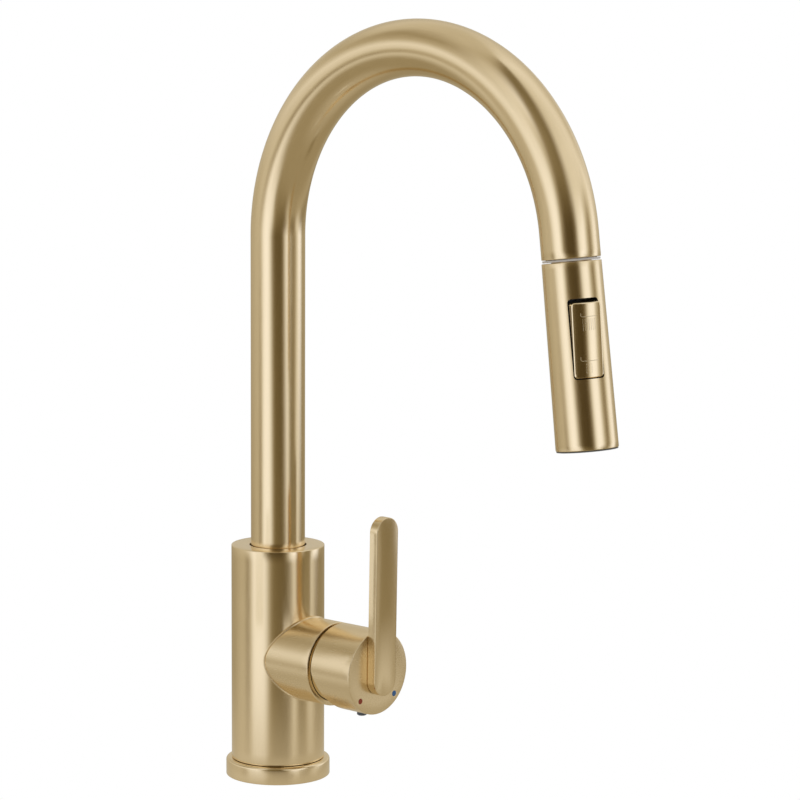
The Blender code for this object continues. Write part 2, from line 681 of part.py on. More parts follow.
def sweep_ring(bm, stations, radius, sides):
    """Loft circles through the stations and return the vertex loops."""
    across = Vector((1, 0, 0))
    loops = []
    for centre, heading in stations:
        other = heading.cross(across)
        loops.append([bm.verts.new(centre + radius * (cos(a) * across + sin(a) * other))
                      for a in (2 * pi * k / sides for k in range(sides))])
    for first, second in zip(loops, loops[1:]):
        join_loops(bm, first, second)
    return loops


def join_loops(bm, first, second):
    """Fill the band between two vertex loops."""
    count = len(first)
    for k in range(count):
        nxt = (k + 1) % count
        bm.faces.new((first[k], first[nxt], second[nxt], second[k]))


def make_spout():
    """Bent tube of the spout."""
    stations = spout_stations(TUBE_BOTTOM, 1, 24)
    bm = bmesh.new()
    outer = sweep_ring(bm, stations, TUBE_R, ROUND)
    inner = sweep_ring(bm, stations, TUBE_BORE_R, ROUND)
    join_loops(bm, outer[0], inner[0])
    join_loops(bm, outer[-1], inner[-1])
    add_object("spout_tube", bm, GOLD)


def make_spout_bearings():
    """Glide bushes in the neck and the ring that keeps the spout in it."""
    inner, outer = TUBE_R + 0.35 * MM, NECK_BORE_R - GAP
    top = BODY_TOP - LIP_H - GAP
    turned("spout_upper_bush", ring_profile(inner, outer, top - BUSH_H, top), ROUND, WHITE)
    turned("spout_lower_bush",
           ring_profile(inner, outer, LOWER_BUSH_BOTTOM, LOWER_BUSH_BOTTOM + BUSH_H),
           ROUND, WHITE)
    turned("spout_retaining_ring",
           ring_profile(TUBE_R + GAP, RETAINER_R, RETAINER_BOTTOM, RETAINER_BOTTOM + RETAINER_H),
           ROUND, STEEL)


def make_dock_bush(frame):
    """White bush in the spout's outlet that the spray head docks against."""
    bore, spigot = COUPLING_R + 0.4 * MM, TUBE_BORE_R - 0.35 * MM
    turned("dock_bush",
           [(bore, DOCK_DEPTH), (bore, -DOCK_RIM_BOTTOM), (DOCK_RIM_R, -DOCK_RIM_BOTTOM),
            (DOCK_RIM_R, -GAP), (spigot, -GAP), (spigot, DOCK_DEPTH)], ROUND, WHITE, frame)


# ---------------------------------------------------------------- hose

def make_hose():
    """Braided hose: up the column, round the arc and into the coupling."""
    stations = spout_stations(HOSE_TAIL, HOSE_COLUMN_POINTS, HOSE_ARC_POINTS, -HOSE_END_GAP)
    curve = bpy.data.curves.new("spray_hose", "CURVE")
    curve.dimensions = "3D"
    curve.bevel_depth = HOSE_R
    curve.bevel_resolution = 2
    curve.use_fill_caps = True
    spline = curve.splines.new("POLY")
    spline.points.add(len(stations) - 1)
    for point, (centre, _) in zip(spline.points, stations):
        point.co = (*centre, 1.0)
    hose = bpy.data.objects.new("spray_hose", curve)
    bpy.context.collection.objects.link(hose)
    give_material(hose, BRAID)


def make_tail_connector():
    """Ferrule, collar and spigot on the hose's lower end, just below the shank."""
    bore, way = HOSE_R + 0.4 * MM, 3.5 * MM
    ferrule_r, collar_r, spigot_r = 8.0 * MM, 9.0 * MM, 6.0 * MM
    top, seat = HOSE_TAIL + 12.0 * MM, HOSE_TAIL - GAP
    collar_top, collar_bottom, end = (HOSE_TAIL - drop * MM for drop in (6.0, 14.0, 24.0))
    turned("hose_tail_connector",
           [(bore, top), (bore, seat), (way, seat), (way, end), (spigot_r, end),
            (spigot_r, collar_bottom), (collar_r, collar_bottom), (collar_r, collar_top),
            (ferrule_r, collar_top), (ferrule_r, top)], ROUND, BRASS)


def make_coupling(frame):
    """Swivel nut on the hose's end, with its washer."""
    hose_bore, cavity, way = HOSE_R + 0.4 * MM, INLET_R + GAP, 4.0 * MM
    stop, seat, taper = 2.5 * MM, 1.0 * MM, 1.8 * MM
    washer_low, washer_high = -0.2 * MM, seat - GAP
    turned("hose_coupling",
           [(hose_bore, COUPLING_UP), (hose_bore, stop), (way, stop), (way, seat),
            (cavity, seat), (cavity, -COUPLING_DOWN), (COUPLING_R, -COUPLING_DOWN),
            (COUPLING_R, COUPLING_UP - 2.5 * MM), (COUPLING_R - taper, COUPLING_UP)],
           ROUND, BRASS, frame)
    turned("coupling_washer", ring_profile(way + 0.2 * MM, INLET_R, washer_low, washer_high),
           ROUND, RUBBER, frame)


# ---------------------------------------------------------------- spray head

def head_radius(s):
    """Outer radius of the spray head at a distance from its top."""
    share = (s - HEAD_TOP) / (HEAD_BOTTOM - HEAD_TOP)
    return HEAD_TOP_R + (HEAD_BOTTOM_R - HEAD_TOP_R) * share


def rocker_matrix():
    """Turn from the head's front to the rocker's side."""
    return Matrix.Rotation(ROCKER_TURN, 4, "Z")


def rounded_slot(bm, half_width, top, bottom, depth_from, depth_to, corner):
    """Add a round-cornered rectangle, extruded towards the rocker's side."""
    corners = [(half_width, top, 0), (half_width, bottom, -90),
               (-half_width, bottom, -180), (-half_width, top, -270)]
    outline = []
    for x, z, turn in corners:
        cx = x - corner if x > 0 else x + corner
        cz = z - corner if z == top else z + corner
        for step in range(4):
            a = radians(turn + 90 - 30 * step)
            outline.append((cx + corner * cos(a), cz + corner * sin(a)))
    verts = [bm.verts.new((x, -depth_from, z)) for x, z in outline]
    made = bmesh.ops.extrude_face_region(bm, geom=[bm.faces.new(verts)])
    moved = [item for item in made["geom"] if isinstance(item, bmesh.types.BMVert)]
    bmesh.ops.translate(bm, verts=moved, vec=(0, depth_from - depth_to, 0))


def make_head_shell(frame):
    """Tapered shell of the spray head, with the rocker's opening."""
    hole, lip, edge = COUPLING_R + 0.5 * MM, 2.0 * MM, 0.5 * MM
    top, bottom = -HEAD_TOP, -HEAD_BOTTOM
    profile = [(hole, top), (HEAD_TOP_R - edge, top), (HEAD_TOP_R, top - edge),
               (HEAD_BOTTOM_R, bottom + 1.2 * MM), (HEAD_BOTTOM_R - 0.9 * MM, bottom),
               (HEAD_BOTTOM_R - HEAD_WALL, bottom),
               (HEAD_TOP_R - HEAD_WALL, top - lip), (hole, top - lip)]
    shell = turned("spray_shell", profile, FINE, GOLD, frame)
    recess = bmesh.new()
    rounded_slot(recess, RECESS_W / 2, -RECESS_TOP, -RECESS_BOTTOM, 9.0 * MM, 20.0 * MM,
                 RECESS_CORNER_R)
    recess.transform(rocker_matrix())
    cut(shell, recess, "rocker_opening")


def make_core(frame):
    """Inner waterway with a flat, two ears and a channel for the rocker's parts."""
    upper, lower = 17.0 * MM, 61.0 * MM
    groove_top, groove_bottom = (-CORE_GROOVE + side * CORE_GROOVE_HALF_H for side in (1, -1))
    groove_r = CORE_R - CORE_GROOVE_DEPTH
    profile = [(0.0, -INLET_TOP), (INLET_R, -INLET_TOP), (INLET_R, -CORE_SHOULDER),
               (CORE_R, -CORE_SHOULDER), (CORE_R, groove_top), (groove_r, groove_top),
               (groove_r, groove_bottom), (CORE_R, groove_bottom), (CORE_R, -CORE_BOTTOM),
               (0.0, -CORE_BOTTOM)]
    core = turned("spray_core", profile, ROUND, GREY, frame)
    turn = rocker_matrix()
    reach = 2 * CORE_R
    flat = bmesh.new()
    box(flat, (-reach, -reach, -lower), (reach, -CORE_FLAT, -upper), turn)
    cut(core, flat, "rocker_flat")
    ears = bmesh.new()
    for side in (-1, 1):
        low_x, high_x = sorted((side * EAR_IN, side * EAR_OUT))
        box(ears, (low_x, -ROCKER_N - 2.0 * MM, -ROCKER_S - EAR_HALF_L),
            (high_x, -CORE_FLAT + MM, -ROCKER_S + EAR_HALF_L), turn)
    join(core, ears, "pin_ears")
    cuts = bmesh.new()
    box(cuts, (-CHANNEL_HALF_W, -CORE_FLAT - MM, -CHANNEL_BOTTOM),
        (CHANNEL_HALF_W, -CHANNEL_FLOOR, -CHANNEL_TOP), turn)
    cylinder(cuts, PIN_HOLE_R, -2 * EAR_OUT, 2 * EAR_OUT, SMALL,
             turn @ along_x(y=-ROCKER_N, z=-ROCKER_S))
    cut(core, cuts, "slide_and_pin")
    way = bmesh.new()
    cylinder(way, WAY_R, -CORE_BOTTOM - MM, -6.0 * MM, SMALL,
             turn @ Matrix.Translation((0, 3.0 * MM, 0)))
    cut(core, way, "waterway")
    seat = bmesh.new()
    seat_floor = 8.2 * MM
    cylinder(seat, CHECK_VALVE_R + 0.5 * MM, -seat_floor, MM, ROUND)
    cut(core, seat, "check_valve_seat")

    turned("spray_core_oring",
           torus_profile(CORE_R - 0.35 * MM, 0.8 * MM, -CORE_GROOVE), ROUND, RUBBER, frame)
    check_bore, check_foot_r = 1.6 * MM, CHECK_VALVE_R - 0.6 * MM
    check_top, check_collar, check_foot = -0.9 * MM, -3.0 * MM, -seat_floor + 0.4 * MM
    turned("check_valve",
           [(check_bore, check_top), (CHECK_VALVE_R, check_top), (CHECK_VALVE_R, check_collar),
            (check_foot_r, check_collar - 0.4 * MM), (check_foot_r, check_foot),
            (check_bore, check_foot)], MEDIUM, WHITE, frame)


def make_spray_face(frame):
    """Spray face: plate, silicone nozzle ring and aerator."""
    face, back, skirt_back = -FACE, -FACE_BACK, -FACE_SKIRT_BACK
    plate = turned("nozzle_plate",
                   [(FACE_CENTRE_R, face), (FACE_R, face), (FACE_R, skirt_back),
                    (FACE_SKIRT_BORE_R, skirt_back), (FACE_SKIRT_BORE_R, back),
                    (FACE_CENTRE_R, back)], ROUND, GREY, frame)
    holes = bmesh.new()
    nubs = bmesh.new()
    for x, y in circle_places(NOZZLE_COUNT, NOZZLE_RING_R):
        place = Matrix.Translation((x, y, 0))
        cylinder(holes, NOZZLE_R + GAP, face - MM, back + MM, TINY, place)
        cylinder(nubs, NOZZLE_R, face - NOZZLE_PROUD, back + MM, TINY, place)
    cut(plate, holes, "nozzle_holes")
    membrane = turned("nozzle_membrane",
                      ring_profile(MEMBRANE_IN_R, MEMBRANE_OUT_R, back + GAP,
                                   back + GAP + MEMBRANE_H), ROUND, SILICONE, frame)
    join(membrane, nubs, "nubs")

    aerator = turned("aerator",
                     [(0.0, face + GAP), (AERATOR_R, face + GAP), (AERATOR_R, -AERATOR_BACK),
                      (0.0, -AERATOR_BACK)], MEDIUM, WHITE, frame)
    jets = bmesh.new()
    for x, y in [(0.0, 0.0)] + circle_places(6, JET_RING_R):
        cylinder(jets, JET_R, face - MM, -AERATOR_BACK + MM, TINY, Matrix.Translation((x, y, 0)))
    cut(aerator, jets, "jets")


# ---------------------------------------------------------------- rocker

def rocker_face_drop(x):
    """How far the face falls away from its middle line, which follows the head."""
    radius = head_radius(ROCKER_S)
    return radius - sqrt(radius * radius - x * x)


def make_rocker(frame):
    """Hollow rocker with a curved face and the finger that drives the diverter."""
    steps = 8
    xs = [ROCKER_HALF_W * (2 * k / steps - 1) for k in range(steps + 1)]
    section = [(x, -ROCKER_FACE + rocker_face_drop(x)) for x in xs]
    section += [(ROCKER_HALF_W, ROCKER_FLOOR), (-ROCKER_HALF_W, ROCKER_FLOOR)]
    bm = bmesh.new()
    verts = [bm.verts.new((x, y, -ROCKER_HALF_L)) for x, y in section]
    made = bmesh.ops.extrude_face_region(bm, geom=[bm.faces.new(verts)])
    moved = [item for item in made["geom"] if isinstance(item, bmesh.types.BMVert)]
    bmesh.ops.translate(bm, verts=moved, vec=(0, 0, 2 * ROCKER_HALF_L))
    rocker = add_object("rocker_button", bm, GOLD, frame)
    rounding = bmesh.new()
    behind, before = -5.0 * MM, 10.0 * MM
    rounded_slot(rounding, ROCKER_HALF_W, ROCKER_HALF_L, -ROCKER_HALF_L, behind, before,
                 ROCKER_CORNER_R)
    combine(rocker, "INTERSECT", rounding, "round_corners")

    hollow = bmesh.new()
    half_w, half_l = ROCKER_HALF_W - ROCKER_WALL, ROCKER_HALF_L - ROCKER_WALL
    box(hollow, (-half_w, -ROCKER_FACE + ROCKER_PLATE, -half_l),
        (half_w, ROCKER_FLOOR + MM, half_l))
    cut(rocker, hollow, "hollow")
    finger = bmesh.new()
    root_low, root_high = -ROCKER_FACE + 2.4 * MM, ROCKER_FLOOR + GAP
    box(finger, (-FINGER_HALF_W, root_low, -FINGER_ROOT_HALF_L),
        (FINGER_HALF_W, root_high, FINGER_ROOT_HALF_L))
    join(rocker, finger, "finger_root")
    tip = bmesh.new()
    box(tip, (-FINGER_HALF_W, ROCKER_FLOOR - 0.5 * MM, -FINGER_TIP_HALF_L),
        (FINGER_HALF_W, FINGER_TIP, FINGER_TIP_HALF_L))
    join(rocker, tip, "finger_tip")
    half_hole, half_pin = 6.9 * MM, 6.6 * MM
    hole = bmesh.new()
    cylinder(hole, PIN_HOLE_R, -half_hole, half_hole, SMALL, along_x())
    cut(rocker, hole, "pin_hole")

    pin = bmesh.new()
    cylinder(pin, PIN_R, -half_pin, half_pin, SMALL, along_x())
    add_object("rocker_pin", pin, STEEL, frame)


def make_diverter(frame):
    """Slide in the core's channel, notched for the rocker's finger."""
    drop = (ROCKER_N - FINGER_MESH_N) * sin(ROCKER_REST)
    middle = -ROCKER_S + drop
    bm = bmesh.new()
    box(bm, (-SLIDE_HALF_W, -SLIDE_FACE, middle - SLIDE_HALF_L),
        (SLIDE_HALF_W, -SLIDE_BACK, middle + SLIDE_HALF_L), rocker_matrix())
    slide = add_object("diverter_slide", bm, WHITE, frame)
    notch = bmesh.new()
    box(notch, (-SLIDE_HALF_W - MM, -SLIDE_FACE - MM, middle - NOTCH_HALF_L),
        (SLIDE_HALF_W + MM, -NOTCH_FLOOR, middle + NOTCH_HALF_L), rocker_matrix())
    cut(slide, notch, "finger_notch")


# ---------------------------------------------------------------- assembly

def build():
    clear_scene()
    upright = (pi / 2, 0, 0)
    valve = add_empty("valve_axis", (0, 0, VALVE_Z), upright)
    pivot = add_empty("lift_pivot", (0, -PIVOT_OUT, VALVE_Z), upright)
    end, _ = spout_stations(TUBE_BOTTOM, 1, 1)[-1]
    outward = ARC_ANGLE - pi
    spray = add_empty("spray_axis", end, (outward, 0, 0))
    side = (ROCKER_N * sin(ROCKER_TURN), -ROCKER_N * cos(ROCKER_TURN), -ROCKER_S)
    hub = add_empty("rocker_pivot", side, (0, 0, ROCKER_TURN), spray)
    rocker = add_empty("rocker_tilt", (0, 0, 0), (ROCKER_REST, 0, 0), hub)

    make_flange()
    make_shank()
    make_deck_clamp()
    make_body()
    make_side_housing(valve)
    make_valve_body(valve)
    make_cartridge(valve)
    make_moving_discs(valve)
    make_turret(valve)
    make_trim_dome(valve)
    make_stem(pivot)
    make_cap(pivot)
    make_lever(pivot)
    make_set_screw(pivot)
    make_dots(pivot)
    make_spout()
    make_spout_bearings()
    make_dock_bush(spray)
    make_hose()
    make_tail_connector()
    make_coupling(spray)
    make_head_shell(spray)
    make_core(spray)
    make_spray_face(spray)
    make_rocker(rocker)
    make_diverter(spray)
    bpy.context.view_layer.update()


build()
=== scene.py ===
"""Looks of a pull-down kitchen faucet in brushed gold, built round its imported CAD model.

Every length is in metres, in the CAD's frame: the origin is under the foot ring, +Z is up,
and the spout and the lever point towards -Y. Three local frames carry what is not upright:
  VALVE   local +Z runs out of the side housing from the column's axis, local +Y is up
  SPRAY   local -Z runs along the spray head from the end of the spout's tube
  ROCKER  local -Y is the way the rocker's face looks, local +Z runs to its upper end
"""
import json
from math import asin, atan2, cos, hypot, pi, radians, sin, sqrt, tan

import bmesh
import bpy
from mathutils import Matrix, Vector


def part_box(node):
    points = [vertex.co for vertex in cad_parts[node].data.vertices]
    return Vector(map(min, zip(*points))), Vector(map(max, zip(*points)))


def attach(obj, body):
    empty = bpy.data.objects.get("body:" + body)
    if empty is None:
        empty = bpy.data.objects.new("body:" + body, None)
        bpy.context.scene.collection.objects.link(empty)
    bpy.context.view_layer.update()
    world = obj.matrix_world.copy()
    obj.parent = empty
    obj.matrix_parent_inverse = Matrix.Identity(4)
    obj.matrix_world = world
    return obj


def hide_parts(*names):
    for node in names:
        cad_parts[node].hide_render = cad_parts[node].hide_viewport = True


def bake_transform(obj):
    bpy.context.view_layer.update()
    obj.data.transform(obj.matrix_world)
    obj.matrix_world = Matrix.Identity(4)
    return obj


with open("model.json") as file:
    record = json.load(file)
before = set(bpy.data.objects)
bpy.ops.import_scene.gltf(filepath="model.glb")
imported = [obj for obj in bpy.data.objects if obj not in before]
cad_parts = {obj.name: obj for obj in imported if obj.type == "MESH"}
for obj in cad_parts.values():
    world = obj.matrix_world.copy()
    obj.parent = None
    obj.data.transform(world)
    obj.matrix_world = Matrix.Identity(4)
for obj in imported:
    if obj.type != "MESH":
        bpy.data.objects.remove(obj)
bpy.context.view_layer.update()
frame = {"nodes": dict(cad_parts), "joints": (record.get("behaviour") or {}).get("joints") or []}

MM = 0.001
GAP = 0.3 * MM                      # clearance that the CAD keeps between pieces
UPRIGHT = Matrix.Identity(4)
SIDES = 160                         # round the large turned pieces
MEDIUM = 96
SMALL = 48
SHARP = 32                          # degrees between faces from which an edge is drawn sharp

# ---------------------------------------------------------------- places read from the CAD

JOINTS = {joint["name"]: joint for joint in frame["joints"]}
PIVOT = Vector(JOINTS["handle_lift"]["pos_m"])
LIFT_MAX = radians(JOINTS["handle_lift"]["range_deg"][1])
TUBE_END = Vector(JOINTS["spray_swivel"]["pos_m"])
HEAD_AXIS = Vector(JOINTS["spray_pull"]["axis"])
ROCKER_PIVOT = Vector(JOINTS["rocker_tilt"]["pos_m"])
HEAD_TILT = asin(HEAD_AXIS.y)

VALVE = Matrix.Translation((0, 0, PIVOT.z)) @ Matrix.Rotation(pi / 2, 4, "X")
SPRAY = Matrix.Translation(TUBE_END) @ Matrix.Rotation(HEAD_TILT, 4, "X")


def size_of(node):
    """Corners of a CAD node, as (low, high)."""
    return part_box(node)


FLANGE_R = size_of("base_flange")[1].x
FLANGE_H = size_of("base_flange")[1].z
BODY_R = size_of("body_shell")[1].x
BODY_BOTTOM = size_of("body_shell")[0].z
BODY_TOP = size_of("body_shell")[1].z
HOUSING_FRONT = -size_of("side_housing")[0].y
CAP_R = size_of("handle_cap")[1].x
HOUSING_R = CAP_R
CAP_BACK = -size_of("handle_cap")[1].y
TUBE_R = size_of("spout_tube")[1].x
TUBE_BOTTOM = size_of("spout_tube")[0].z
SHANK_R = size_of("mounting_shank")[1].x
SHANK_BOTTOM = size_of("mounting_shank")[0].z
SHANK_TOP = size_of("mounting_shank")[1].z
LEVER_HALF_W = size_of("lever")[1].x
LEVER_TOP = size_of("lever")[1].z
LEVER_BOTTOM = size_of("lever")[0].z

# ---------------------------------------------------------------- design sizes the CAD repeats

TUBE_BORE_R = 12.9 * MM
ARC_R = 100.1 * MM
OUTLET_LENGTH = 12.6 * MM
ARC_ANGLE = pi + HEAD_TILT
ARC_CENTRE_Z = TUBE_END.z - ARC_R * sin(ARC_ANGLE) - OUTLET_LENGTH * cos(ARC_ANGLE)
LIP_BORE_R = 15.3 * MM
BODY_BORE_R = 21.4 * MM
CAP_FACE = 73.8 * MM
HANDLE_LEAN = radians(0.9)
LEVER_T = 5.5 * MM
DOT_X = 12.9 * MM
DOT_Z = 53.6 * MM
DOT_R = 1.5 * MM
SCREW_OUT = 62.5 * MM
HEAD_TOP = 2.2 * MM
HEAD_BOTTOM = 92.7 * MM
HEAD_TOP_R = 14.62 * MM
HEAD_BOTTOM_R = 15.45 * MM
COUPLING_R = 9.8 * MM
HOSE_R = 6.5 * MM
ROCKER_TURN = radians(-33.3)
ROCKER_FACE = 7.0 * MM
ROCKER_HALF_W = 7.35 * MM
ROCKER_HALF_L = 18.3 * MM
ROCKER_REST = radians(6.9)
RECESS_TOP = 19.5 * MM
RECESS_BOTTOM = 58.5 * MM
RECESS_HALF_W = 7.75 * MM

ROCKER = (Matrix.Translation(ROCKER_PIVOT) @ Matrix.Rotation(HEAD_TILT, 4, "X")
          @ Matrix.Rotation(ROCKER_TURN, 4, "Z") @ Matrix.Rotation(ROCKER_REST, 4, "X"))


# ---------------------------------------------------------------- mesh helpers

def add_piece(name, bm, look, body, nodes, sharp=SHARP):
    """Turn a bmesh into a piece that rides on a body and stands for CAD nodes."""
    bmesh.ops.recalc_face_normals(bm, faces=bm.faces)
    mesh = bpy.data.meshes.new(name)
    bm.to_mesh(mesh)
    bm.free()
    mesh.shade_smooth()
    mesh.set_sharp_from_angle(angle=radians(sharp))
    piece = bpy.data.objects.new(name, mesh)
    bpy.context.collection.objects.link(piece)
    mesh.materials.append(look)
    if body:
        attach(piece, body)
    if nodes:
        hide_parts(*nodes)
    return piece


def loft(bm, rings, closed=False):
    """Skin rings of points. A ring of one point is a pole. UV is in metres, u round, v along."""
    layer = bm.loops.layers.uv.verify()
    count = max(len(ring) for ring in rings)
    girth = max(sum((ring[k] - ring[k - 1]).length for k in range(len(ring)))
                for ring in rings if len(ring) > 1)
    verts = [[bm.verts.new(p) for p in ring] for ring in rings]
    order = list(zip(range(len(rings)), range(1, len(rings))))
    if closed:
        order.append((len(rings) - 1, 0))
    v_low = 0.0
    for first, second in order:
        a, b = rings[first], rings[second]
        step = max((a[0 if len(a) == 1 else k] - b[0 if len(b) == 1 else k]).length
                   for k in (0, count // 3, 2 * count // 3))
        for k in range(count):
            skin_quad(bm, layer, verts[first], verts[second], k, count, girth,
                      (v_low, v_low + step))
        v_low += step


def skin_quad(bm, layer, first, second, k, count, girth, vs):
    """One face of a loft, a triangle where a ring is a pole."""
    nxt = (k + 1) % count
    corners = []
    u0, u1 = girth * k / count, girth * (k + 1) / count
    if len(first) > 1:
        corners += [(first[k], u0, vs[0]), (first[nxt], u1, vs[0])]
    else:
        corners += [(first[0], (u0 + u1) / 2, vs[0])]
    if len(second) > 1:
        corners += [(second[nxt], u1, vs[1]), (second[k], u0, vs[1])]
    else:
        corners += [(second[0], (u0 + u1) / 2, vs[1])]
    face = bm.faces.new([corner[0] for corner in corners])
    for loop, (_, u, v) in zip(face.loops, corners):
        loop[layer].uv = (u, v)


def round_corners(points, steps=4):
    """Replace each (r, z, radius) corner of an open or closed outline by an arc."""
    out = []
    count = len(points)
    for k, point in enumerate(points):
        radius = point[2] if len(point) > 2 else 0.0
        here = Vector(point[:2])
        if radius <= 0 or (k in (0, count - 1) and points[0][0] == 0):
            out.append(tuple(here))
            continue
        before = (Vector(points[k - 1][:2]) - here).normalized()
        after = (Vector(points[(k + 1) % count][:2]) - here).normalized()
        half = before.angle(after) / 2
        reach = radius / tan(half)
        centre = here + (before + after).normalized() * (radius / sin(half))
        start, end = here + before * reach - centre, here + after * reach - centre
        a0, a1 = atan2(start.y, start.x), atan2(end.y, end.x)
        turn = (a1 - a0 + pi) % (2 * pi) - pi
        for step in range(steps + 1):
            a = a0 + turn * step / steps
            out.append((centre.x + radius * cos(a), centre.y + radius * sin(a)))
    return out


def ring(radius, z, sides, matrix, shift=None):
    """Points of a circle about the frame's local Z; shift moves a point's z by its place."""
    if radius == 0:
        return [matrix @ Vector((0, 0, z + (shift(0.0, 0.0) if shift else 0.0)))]
    points = []
    for k in range(sides):
        a = 2 * pi * k / sides
        x, y = radius * cos(a), radius * sin(a)
        points.append(matrix @ Vector((x, y, z + (shift(x, y) if shift else 0.0))))
    return points


def turned_mesh(profile, sides, matrix=UPRIGHT, fine=None):
    """A turned solid. A profile that starts on the axis ends there; any other is a closed ring."""
    outline = round_corners(profile)
    if fine:
        outline = split_long(outline, fine)
    bm = bmesh.new()
    loft(bm, [ring(r, z, sides, matrix) for r, z in outline], closed=outline[0][0] > 0)
    return bm


def split_long(outline, longest):
    """Add points so that no stretch of an outline is longer than a given length."""
    out = []
    for a, b in zip(outline, outline[1:] + outline[:1]):
        parts = max(1, int(hypot(b[0] - a[0], b[1] - a[1]) / longest))
        out += [(a[0] + (b[0] - a[0]) * k / parts, a[1] + (b[1] - a[1]) * k / parts)
                for k in range(parts)]
    return out


def cut(piece, tool_bm):
    """Cut a piece with a guide solid and keep the result as its mesh."""
    bmesh.ops.recalc_face_normals(tool_bm, faces=tool_bm.faces)
    mesh = bpy.data.meshes.new("tool")
    tool_bm.to_mesh(mesh)
    tool_bm.free()
    tool = bpy.data.objects.new("tool", mesh)
    bpy.context.collection.objects.link(tool)
    modifier = piece.modifiers.new("cut", "BOOLEAN")
    modifier.operation = "DIFFERENCE"
    modifier.object = tool
    bpy.context.view_layer.update()
    evaluated = piece.evaluated_get(bpy.context.evaluated_depsgraph_get())
    result = bpy.data.meshes.new_from_object(evaluated)
    piece.modifiers.clear()
    old = piece.data
    piece.data = result
    result.name = old.name
    bpy.data.objects.remove(tool)
    result.shade_smooth()
    result.set_sharp_from_angle(angle=radians(SHARP))


def rod(bm, radius, low, high, sides, matrix=UPRIGHT):
    """A plain closed cylinder, used as a cutting tool or a thin bar."""
    loft(bm, [ring(0, low, sides, matrix), ring(radius, low, sides, matrix),
              ring(radius, high, sides, matrix), ring(0, high, sides, matrix)])


def bar(bm, low, high, matrix=UPRIGHT):
    """A closed box between two corners."""
    low, high = Vector(low), Vector(high)
    place = Matrix.Translation((low + high) / 2) @ Matrix.Diagonal((*(high - low), 1.0))
    bmesh.ops.create_cube(bm, size=1.0, matrix=matrix @ place)


def along_y(x, y, z):
    """Matrix that lays a local Z rod along Y."""
    return Matrix.Translation((x, y, z)) @ Matrix.Rotation(-pi / 2, 4, "X")


# ---------------------------------------------------------------- materials

class Nodes:
    """Short way to write the node tree of a material or a world."""

    def __init__(self, owner):
        owner.use_nodes = True
        self.tree = owner.node_tree
        self.shader = self.tree.nodes.get("Principled BSDF")

    def add(self, kind, **settings):
        node = self.tree.nodes.new(kind)
        for key, value in settings.items():
            setattr(node, key, value)
        return node

    def link(self, source, target):
        self.tree.links.new(source, target)

    def coordinates(self, kind, scale):
        """UV or Object coordinates, scaled per axis."""
        place = self.add("ShaderNodeTexCoord")
        mapping = self.add("ShaderNodeMapping")
        mapping.inputs["Scale"].default_value = scale
        self.link(place.outputs[kind], mapping.inputs["Vector"])
        return mapping.outputs["Vector"]

    def noise(self, vector, scale, detail=3.0, roughness=0.5):
        node = self.add("ShaderNodeTexNoise")
        node.inputs["Scale"].default_value = scale
        node.inputs["Detail"].default_value = detail
        node.inputs["Roughness"].default_value = roughness
        self.link(vector, node.inputs["Vector"])
        return node.outputs["Fac"]

    def spread(self, source, low, high, from_low=0.3, from_high=0.7):
        """Map a texture's value to a range."""
        node = self.add("ShaderNodeMapRange")
        node.inputs["From Min"].default_value = from_low
        node.inputs["From Max"].default_value = from_high
        node.inputs["To Min"].default_value = low
        node.inputs["To Max"].default_value = high
        self.link(source, node.inputs["Value"])
        return node.outputs["Result"]

    def blend_colours(self, factor, first, second):
        node = self.add("ShaderNodeMix", data_type="RGBA")
        node.inputs[6].default_value = (*first, 1.0)
        node.inputs[7].default_value = (*second, 1.0)
        self.link(factor, node.inputs["Factor"])
        return node.outputs[2]

    def bump(self, height, strength, distance):
        node = self.add("ShaderNodeBump")
        node.inputs["Strength"].default_value = strength
        node.inputs["Distance"].default_value = distance
        self.link(height, node.inputs["Height"])
        self.link(node.outputs["Normal"], self.shader.inputs["Normal"])

    def sum(self, a, b, operation="ADD"):
        """Two values added, or joined by another operation of a Math node."""
        node = self.add("ShaderNodeMath", operation=operation)
        self.link(a, node.inputs[0])
        if isinstance(b, (int, float)):
            node.inputs[1].default_value = b
        else:
            self.link(b, node.inputs[1])
        return node.outputs[0]

    def mix_shaders(self, factor, first, second):
        node = self.add("ShaderNodeMixShader")
        for source, socket in zip((factor, first.outputs[0], second.outputs[0]), node.inputs):
            self.link(source, socket)
        return node


def tints(colour, amount):
    """A slightly darker and a slightly lighter shade of a colour."""
    return (tuple(c * (1 - amount) for c in colour), tuple(min(1.0, c * (1 + amount)) for c in colour))


def brushed_metal(name, colour, roughness, kind="UV", depth=0.006, fade=0.03):
    """Metal with hairlines: along a piece's UV, or round the upright axis with kind Object."""
    material = bpy.data.materials.new(name)
    nodes = Nodes(material)
    nodes.shader.inputs["Metallic"].default_value = 1.0
    fine, coarse, patch = 2600.0, 90.0, 60.0
    scale = (fine, coarse, 1.0) if kind == "UV" else (coarse, coarse, fine)
    lines = nodes.noise(nodes.coordinates(kind, scale), 1.0, 2.0)
    clouds = nodes.noise(nodes.coordinates(kind, (patch, patch, patch)), 1.0, 3.0)
    mixed = nodes.sum(nodes.sum(lines, 0.75, "MULTIPLY"), nodes.sum(clouds, 0.25, "MULTIPLY"))
    dark, light = tints(colour, fade)
    nodes.link(nodes.blend_colours(nodes.spread(mixed, 0, 1), dark, light),
               nodes.shader.inputs["Base Color"])
    nodes.link(nodes.spread(mixed, roughness - 0.02, roughness + 0.02),
               nodes.shader.inputs["Roughness"])
    nodes.bump(lines, depth, 0.02 * MM)
    return material


